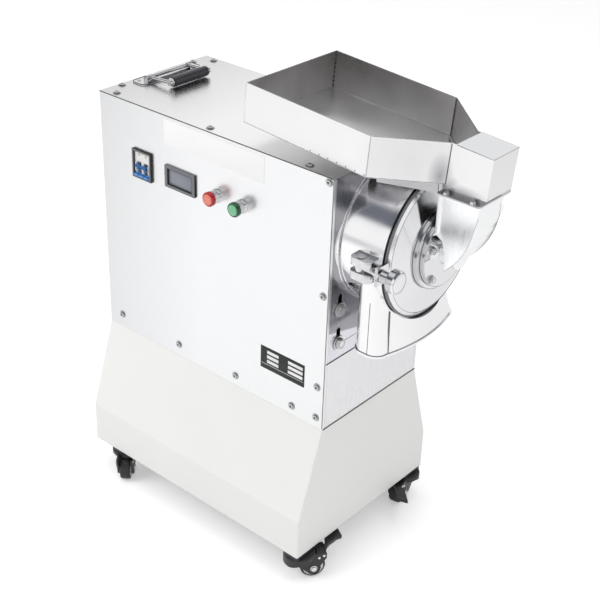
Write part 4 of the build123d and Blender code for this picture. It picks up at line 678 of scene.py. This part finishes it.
CASTERS = {
    "front_right": (-19.0, -171.0, 54.0), "front_left": (-506.0, -171.0, -50.0),
    "back_right": (-19.0, 171.0, -80.0), "back_left": (-506.0, 171.0, 50.0),
}
TRAIL = 26.0
for corner, (x, y, heading) in CASTERS.items():
    turn = math.radians(heading)
    across = (-math.sin(turn), math.cos(turn), 0)
    centre = at(x + TRAIL * math.cos(turn), y + TRAIL * math.sin(turn), 25)
    axle = along(centre, across)
    tread = spun([(-10.9, 20.4), (-10.9, 21.8), (-10.2, 23.6), (-8.4, 24.7), (-4, 25.0), (4, 25.0),
                  (8.4, 24.7), (10.2, 23.6), (10.9, 21.8), (10.9, 20.4), (-10.9, 20.4)], axle, 72)
    piece("tyre_" + corner, tread, "tyre", "wheel_" + corner,
          ["caster_wheel_" + corner])
    disc = spun([(-10.7, 20.35), (-11.3, 19.8), (-11.3, 15.2), (-10.7, 14.6), (-9.2, 14.2),
                 (-9.2, 10.2), (-12.2, 9.4), (-12.6, 8.8), (-12.6, 4.06), (12.6, 4.06),
                 (12.6, 8.8), (12.2, 9.4), (9.2, 10.2), (9.2, 14.2), (10.7, 14.6), (11.3, 15.2),
                 (11.3, 19.8), (10.7, 20.35), (-10.7, 20.35)], axle, 72)
    piece("hub_" + corner, disc, "hub", "wheel_" + corner)
    nuts = bmesh.new()
    for side in (-1, 1):
        spun([(side * 17.0, 0), (side * 17.0, 6.8), (side * 17.8, 7.0), (side * 18.2, 6.0),
              (side * 18.8, 5.6), (side * 20.4, 5.2), (side * 21.0, 4.0), (side * 21.0, 0)],
             axle, 6 if side > 0 else 24, nuts)
    piece("axle_bolt_" + corner, nuts, "bright", "fork_" + corner)
    rivets = bmesh.new()
    for reach, height in ((36.0, 50.0), (45.5, 54.0)):
        point = at(x + reach * math.cos(turn), y + reach * math.sin(turn), height)
        for side in (-1, 1):
            spun([(17.0, 0), (17.0, 2.9), (17.8, 2.6), (18.5, 1.6), (18.7, 0)],
                 along(point, [side * k for k in across]), 20, rivets)
    piece("fork_rivets_" + corner, rivets, "bright", "fork_" + corner)

# ---- carrying handle -----------------------------------------------------------------------

grip_axis = along(at(*GRIP), (0, 1, 0))
profile = [(-45.9, 3.1), (-45.9, 8.6), (-45.2, 9.5), (-43.8, 10.0)]
for groove in range(12):
    start = -42.0 + 7.0 * groove
    profile += [(start, 10.0), (start + 0.7, 9.8), (start + 1.4, 10.0)]
profile += [(43.8, 10.0), (45.2, 9.5), (45.9, 8.6), (45.9, 3.1), (-45.9, 3.1)]
piece("grip_sleeve", spun(profile, grip_axis, 72), "rubber", "handle",
      ["handle_grip"])
caps = bmesh.new()
for side in (-1, 1):
    spun([(45.9, 0), (45.9, 7.6), (46.5, 8.2), (47.2, 8.2), (47.8, 7.4), (47.8, 0)],
         along(at(*GRIP), (0, side, 0)), 48, caps)
piece("grip_end_caps", caps, "plated", "handle")
bar = spun([(-46.8, 0), (-46.8, 4.2), (-46.2, 4.8), (-30.0, 4.8), (-29.6, 4.4), (29.6, 4.4),
            (30.0, 4.8), (46.2, 4.8), (46.8, 4.2), (46.8, 0)], along(at(*PIVOT), (0, 1, 0)), 48)
piece("handle_pivot_bar", bar, "bright", "handle")
edge = rounded_loop(-562.0, -528.0, -70.0, 86.0, 9.0, 841.1)
piece("handle_plate_edge", tube(edge, 0.0007, 8, True), "seam", "cabinet")

# ---- welds, seams and small details ------------------------------------------------------------

beads = bmesh.new()
tube(drum_ring(8.6, 130.6), 0.0011, 8, True, beads)
tube(drum_ring(91.4, 130.6), 0.0011, 8, True, beads)
piece("drum_welds", beads, "weld", "cabinet")


# Painted shade: thin dark rings at the knob's rims and collar.
shade_rings = bead_ring(128.2, *KNOB, 11.3, 0.5)
bead_ring(111.0, *KNOB, 10.8, 0.5, shade_rings)
bead_ring(128.3, *KNOB, 17.4, 0.35, shade_rings)
bead_ring(131.2, *KNOB, 20.4, 0.3, shade_rings)
bead_ring(145.1, *KNOB, 17.4, 0.35, shade_rings)
piece("knob_shade_rings", shade_rings, "groove", "knob")

# Painted shade: thin dark rings at the hub's steps, on the door face and round the hub bolts.
shade_rings = bead_ring(118.1, 0, AXIS_Z, 74.6, 0.8, None, (1, 0, 0), 120)
bead_ring(127.1, 0, AXIS_Z, 66.7, 0.8, shade_rings, (1, 0, 0), 120)
bead_ring(126.2, 0, AXIS_Z, 73.9, 0.35, shade_rings, (1, 0, 0), 120)
bead_ring(135.7, 0, AXIS_Z, 65.9, 0.35, shade_rings, (1, 0, 0), 120)
bead_ring(110.2, 0, AXIS_Z, 122.9, 0.35, shade_rings, (1, 0, 0), 160)
for y, rise in HUB_BOLTS:
    for side in (-1, 1):
        bead_ring(136.2, side * y, AXIS_Z + rise, 7.6, 0.35, shade_rings)
        bead_ring(137.3, side * y, AXIS_Z + rise, 6.5, 0.35, shade_rings)
        bead_ring(142.0, side * y, AXIS_Z + rise, 4.6, 0.3, shade_rings)
piece("hub_shade_rings", shade_rings, "groove", "door")
# Painted shade: a dark band on the door rim's chamfer where the polished rim is in shadow.
band = spun([(103.1, 132.8), (103.1, 133.15), (104.6, 133.15), (106.6, 129.5), (106.2, 129.3),
             (104.4, 132.7), (103.1, 132.8)], along(DRUM, (1, 0, 0)), 160)
piece("door_rim_painted_shade", band, "groove", "door")

# Painted shadow: dark rings round the head plate bolts' washers and hex heads.
painted_shadows = bmesh.new()
for y in (-110.5, 110.5):
    for z in (513.5, 581.5):
        bead_ring(0.3, y, z, 13.6, 0.7, painted_shadows)
        bead_ring(2.1, y, z, 10.3, 0.5, painted_shadows)
        bead_ring(9.0, y, z, 7.4, 0.4, painted_shadows)
piece("head_bolt_painted_shadows", painted_shadows, "seam", "cabinet")

FRONT_SCREWS = ((-534.0, 366.0), (-370.0, 364.0), (-217.0, 360.0), (-75.0, 358.0), (-17.0, 360.0),
                (-17.0, 426.0), (-13.0, 615.0), (-11.0, 830.0))
screws = [(x, -side * PANEL_Y, z, (0, side, 0)) for x, z in FRONT_SCREWS for side in (-1, 1)]
screws += [(x, y, TOP_Z, (0, 0, 1)) for y in (-129.0, 129.0) for x in (-537.0, -294.0, -64.5)]
screws += [(REAR_X + 9.0, y, TOP_Z, (0, 0, 1)) for y in (-94.0, 94.0)]
# Painted shadow: dark rings under each screw's washer and head, and a dark disc as painted shade in
# its recess.
painted_shadows = bmesh.new()
for x, y, z, axis in screws:
    low, foot, head = ([middle + rise * k for middle, k in zip((x, y, z), axis)]
                       for rise in (0.2, 1.2, 3.3))
    bead_ring(*low, 7.5, 0.45, painted_shadows, axis, 32)
    bead_ring(*foot, 5.4, 0.5, painted_shadows, axis, 32)
    spun([(0, 0), (0, 2.7), (0.25, 2.5), (0.25, 0)], along(at(*head), axis), 6, painted_shadows)
piece("screw_painted_shadows", painted_shadows, "seam", "cabinet")

bend = arc((205.5, 779.0), (182.5, 718.0), (157.0, 688.0))
seams = bmesh.new()
for side in (-1, 1):
    tube([at(x + 0.1, side * 37.6, z) for x, z in [(211.5, 803.0)] + bend], 0.0005, 6, False, seams)
tube([at(157.0, -37.6, 688.0), at(157.0, 37.6, 688.0)], 0.0006, 6, False, seams)
piece("elbow_seams", seams, "weld", "door")

seam = tube([at(97.3, -98.5 + 0.14 * k, 611.0 - 3.0 * k) for k in range(29)], 0.0016, 8)
tube([at(73.0, -122.7, 523), at(73.0, -122.7, 628)], 0.0005, 6, False, seam)
piece("chute_seam", seam, "seam", "cabinet")
joints = tube([at(REAR_X, -142.9, SEAM_Z), at(-1, -142.9, SEAM_Z)], 0.0009, 8)
tube([at(-1.2, -142.8, 837), at(-1.2, -142.8, 342)], 0.0007, 8, False, joints)
piece("panel_seams", joints, "seam", "cabinet")
joints = tube([at(0.4, -141.5, PLATE_BOTTOM), at(0.4, 141.5, PLATE_BOTTOM)], 0.0009, 8)
tube([at(0.6, -141.5, 339.6), at(0.6, 141.5, 339.6)], 0.0008, 8, False, joints)
piece("end_seams", joints, "seam", "cabinet")

hem = tube([hopper(TRAY_FOLD, -119.6, 0), hopper(0.6, -119.6, 0), hopper(0.6, 119.6, 0),
            hopper(TRAY_FOLD, 119.6, 0), hopper(TRAY_END, 36.2, 0)], 0.0006, 8)
tube([hopper(TRAY_FOLD, -119.6, 0), hopper(TRAY_END, -36.2, 0)], 0.0006, 8, False, hem)
piece("tray_hem", hem, "weld", "door")
folds = bmesh.new()
for side in (-1, 1):
    tube([hopper(TRAY_FOLD, side * 119.9, -72), hopper(TRAY_FOLD, side * 119.9, -1)], 0.0008, 8,
         False, folds)
piece("tray_fold_welds", folds, "weld", "door")

inner = bmesh.new()
for side in (-1, 1):
    tube([hopper(2.0, side * 118.4, -70.6), hopper(266.5, side * 118.4, -70.6),
          hopper(364.5, side * 35.6, -70.6)], 0.0007, 8, False, inner)
tube([hopper(2.0, -118.4, -70.6), hopper(2.0, 118.4, -70.6)], 0.0007, 8, False, inner)
piece("tray_floor_welds", inner, "bright", "door")
spots = bmesh.new()
for side in (-1, 1):
    tube([hopper(2.0, side * 118.4, -70.6), hopper(2.0, side * 118.4, -2.0)], 0.0005, 8, False,
         spots)
    tube([hopper(266.9, side * 118.2, -70.6), hopper(266.9, side * 118.2, -2.0)], 0.0007, 8, False,
         spots)
    for step in range(8):
        place = along(hopper(2.9, side * 117.5, -66.0 + 8.6 * step), (1, -side, 0))
        spun([(-0.8, 0), (-0.8, 2.2), (0.0, 2.0), (0.4, 1.2), (0.5, 0)], place, 16, spots)
    tube([hopper(366.3, side * 36.7, -72), hopper(366.3, side * 36.7, -1)], 0.0010, 8, False, spots)
    for step in range(7):
        place = along(hopper(150 + 19 * step, side * 120.0, -69.5), (0, side, 0))
        spun([(-0.3, 0), (-0.3, 1.6), (0.3, 1.2), (0.5, 0)], place, 16, spots)
piece("tray_corner_welds", spots, "seam", "door")
edges = bmesh.new()
for side in (-1, 1):
    tube([hopper(0.1, side * 120.0, -2.0), hopper(0.1, side * 120.0, -72.2),
          hopper(TRAY_FOLD, side * 120.0, -72.2), hopper(TRAY_END, side * 36.8, -72.2)], 0.0005, 6,
         False, edges)
piece("tray_outer_edges", edges, "weld", "door")

cover_seam = tube([hopper(376, -36.4, 0.1), hopper(445.3, -36.4, 0.1), hopper(445.3, 36.4, 0.1),
                   hopper(376, 36.4, 0.1)], 0.0007, 8)
piece("spout_seam", cover_seam, "seam", "door")

# ---- studio --------------------------------------------------------------------------------

def studio_world():
    """White to the camera; metal sees a bright room with a dark band, open to the back left."""
    world = bpy.data.worlds.new("studio")
    bpy.context.scene.world = world
    world.use_nodes = True
    tree = world.node_tree
    tree.nodes.clear()

    def add(kind, inputs=None, **settings):
        return add_node(tree, kind, inputs, **settings)

    path = add("ShaderNodeLightPath")
    direction = add("ShaderNodeTexCoord").outputs["Generated"]
    height = add("ShaderNodeSeparateXYZ", {0: direction}).outputs[2]

    def ramp(value, low, high, start, end):
        return add("ShaderNodeMapRange", {"Value": value, "From Min": low, "From Max": high,
                                          "To Min": start, "To Max": end},
                   interpolation_type="SMOOTHSTEP").outputs[0]

    def times(first, second):
        return add("ShaderNodeMath", {0: first, 1: second}, operation="MULTIPLY").outputs[0]

    band = times(ramp(height, 0.36, 0.48, 0, 1), ramp(height, 0.66, 0.84, 1, 0))
    bright_side = Vector((-0.55, 0.67, 0.50)).normalized()
    toward = add("ShaderNodeVectorMath", {0: direction, 1: bright_side},
                 operation="DOT_PRODUCT").outputs["Value"]
    band = times(band, ramp(toward, 0.70, 0.93, 1, 0))
    room = add("ShaderNodeMix", {0: band, 6: (1, 1, 1, 1), 7: (0.15, 0.16, 0.19, 1)},
               data_type="RGBA").outputs[2]
    soft = add("ShaderNodeMix", {0: path.outputs["Is Glossy Ray"], 6: (0.56, 0.56, 0.565, 1),
                                 7: room}, data_type="RGBA").outputs[2]
    seen = add("ShaderNodeMix", {0: path.outputs["Is Camera Ray"], 6: soft, 7: (1, 1, 1, 1)},
               data_type="RGBA").outputs[2]
    back = add("ShaderNodeBackground", {"Color": seen, "Strength": 1.0})
    output = add("ShaderNodeOutputWorld")
    tree.links.new(back.outputs[0], output.inputs["Surface"])


def lamp(name, place, target, size, power):
    data = bpy.data.lights.new(name, "AREA")
    data.shape = "RECTANGLE"
    data.size, data.size_y = size
    data.energy = power
    made = bpy.data.objects.new(name, data)
    bpy.context.scene.collection.objects.link(made)
    made.location = place
    made.rotation_euler = (Vector(target) - Vector(place)).to_track_quat("-Z", "Y").to_euler()
    made.visible_glossy = False
    return made


def studio_floor():
    """Seamless pale floor that shows as white and keeps the object's soft shadow."""
    mesh = bmesh.new()
    bmesh.ops.create_grid(mesh, x_segments=1, y_segments=1, size=12)
    data = bpy.data.meshes.new("floor")
    mesh.to_mesh(data)
    mesh.free()
    floor = bpy.data.objects.new("floor", data)
    bpy.context.scene.collection.objects.link(floor)
    shader = Shader("floor_white", (0.93, 0.93, 0.93), 0.7)
    data.materials.append(shader.material)
    shader.shade(shader.span(shader.noise(0.6, 2), 0, 1), 0.99, 1.0)
    path = shader.add("ShaderNodeLightPath").outputs
    gleam = shader.span(path["Is Glossy Ray"], 0, 0.10, 0, 1)
    lift = shader.add("ShaderNodeMath", {0: path["Is Camera Ray"], 1: 0.34, 2: gleam},
                      operation="MULTIPLY_ADD").outputs[0]
    shader.main.inputs["Emission Color"].default_value = (1, 1, 1, 1)
    shader.tree.links.new(lift, shader.main.inputs["Emission Strength"])


studio_world()
studio_floor()
lamp("key", (-1.6, -2.6, 2.9), (0, 0, 0.5), (2.4, 2.4), 56)
lamp("overhead", (0.2, 0.2, 3.4), (0, 0, 0.5), (3.0, 3.0), 36)
lamp("fill", (3.0, -0.6, 1.5), (0, 0, 0.5), (2.0, 2.0), 13)

# ---- camera --------------------------------------------------------------------------------

CAMERA_TURN = (39.68, 30.01, 2.11)         # azimuth, elevation and roll in degrees
CAMERA_PLACE = (1125.0, -1575.5, 1663.5)
CAMERA_LENS = 73.85
view = bpy.data.cameras.new("camera")
camera = bpy.data.objects.new("camera", view)
bpy.context.scene.collection.objects.link(camera)
azimuth, elevation, roll = (math.radians(a) for a in CAMERA_TURN)
back = Vector((math.sin(azimuth) * math.cos(elevation), -math.cos(azimuth) * math.cos(elevation),
               math.sin(elevation)))
right = Vector((0, 0, 1)).cross(back).normalized()
up = back.cross(right)
axes = Matrix((right * math.cos(roll) + up * math.sin(roll),
               up * math.cos(roll) - right * math.sin(roll), back)).transposed()
camera.matrix_world = Matrix.Translation(at(*CAMERA_PLACE)) @ axes.to_4x4()
view.sensor_width = 36.0
view.lens = CAMERA_LENS
view.clip_end = 50
bpy.context.scene.camera = camera
bpy.context.scene.view_settings.view_transform = "Standard"
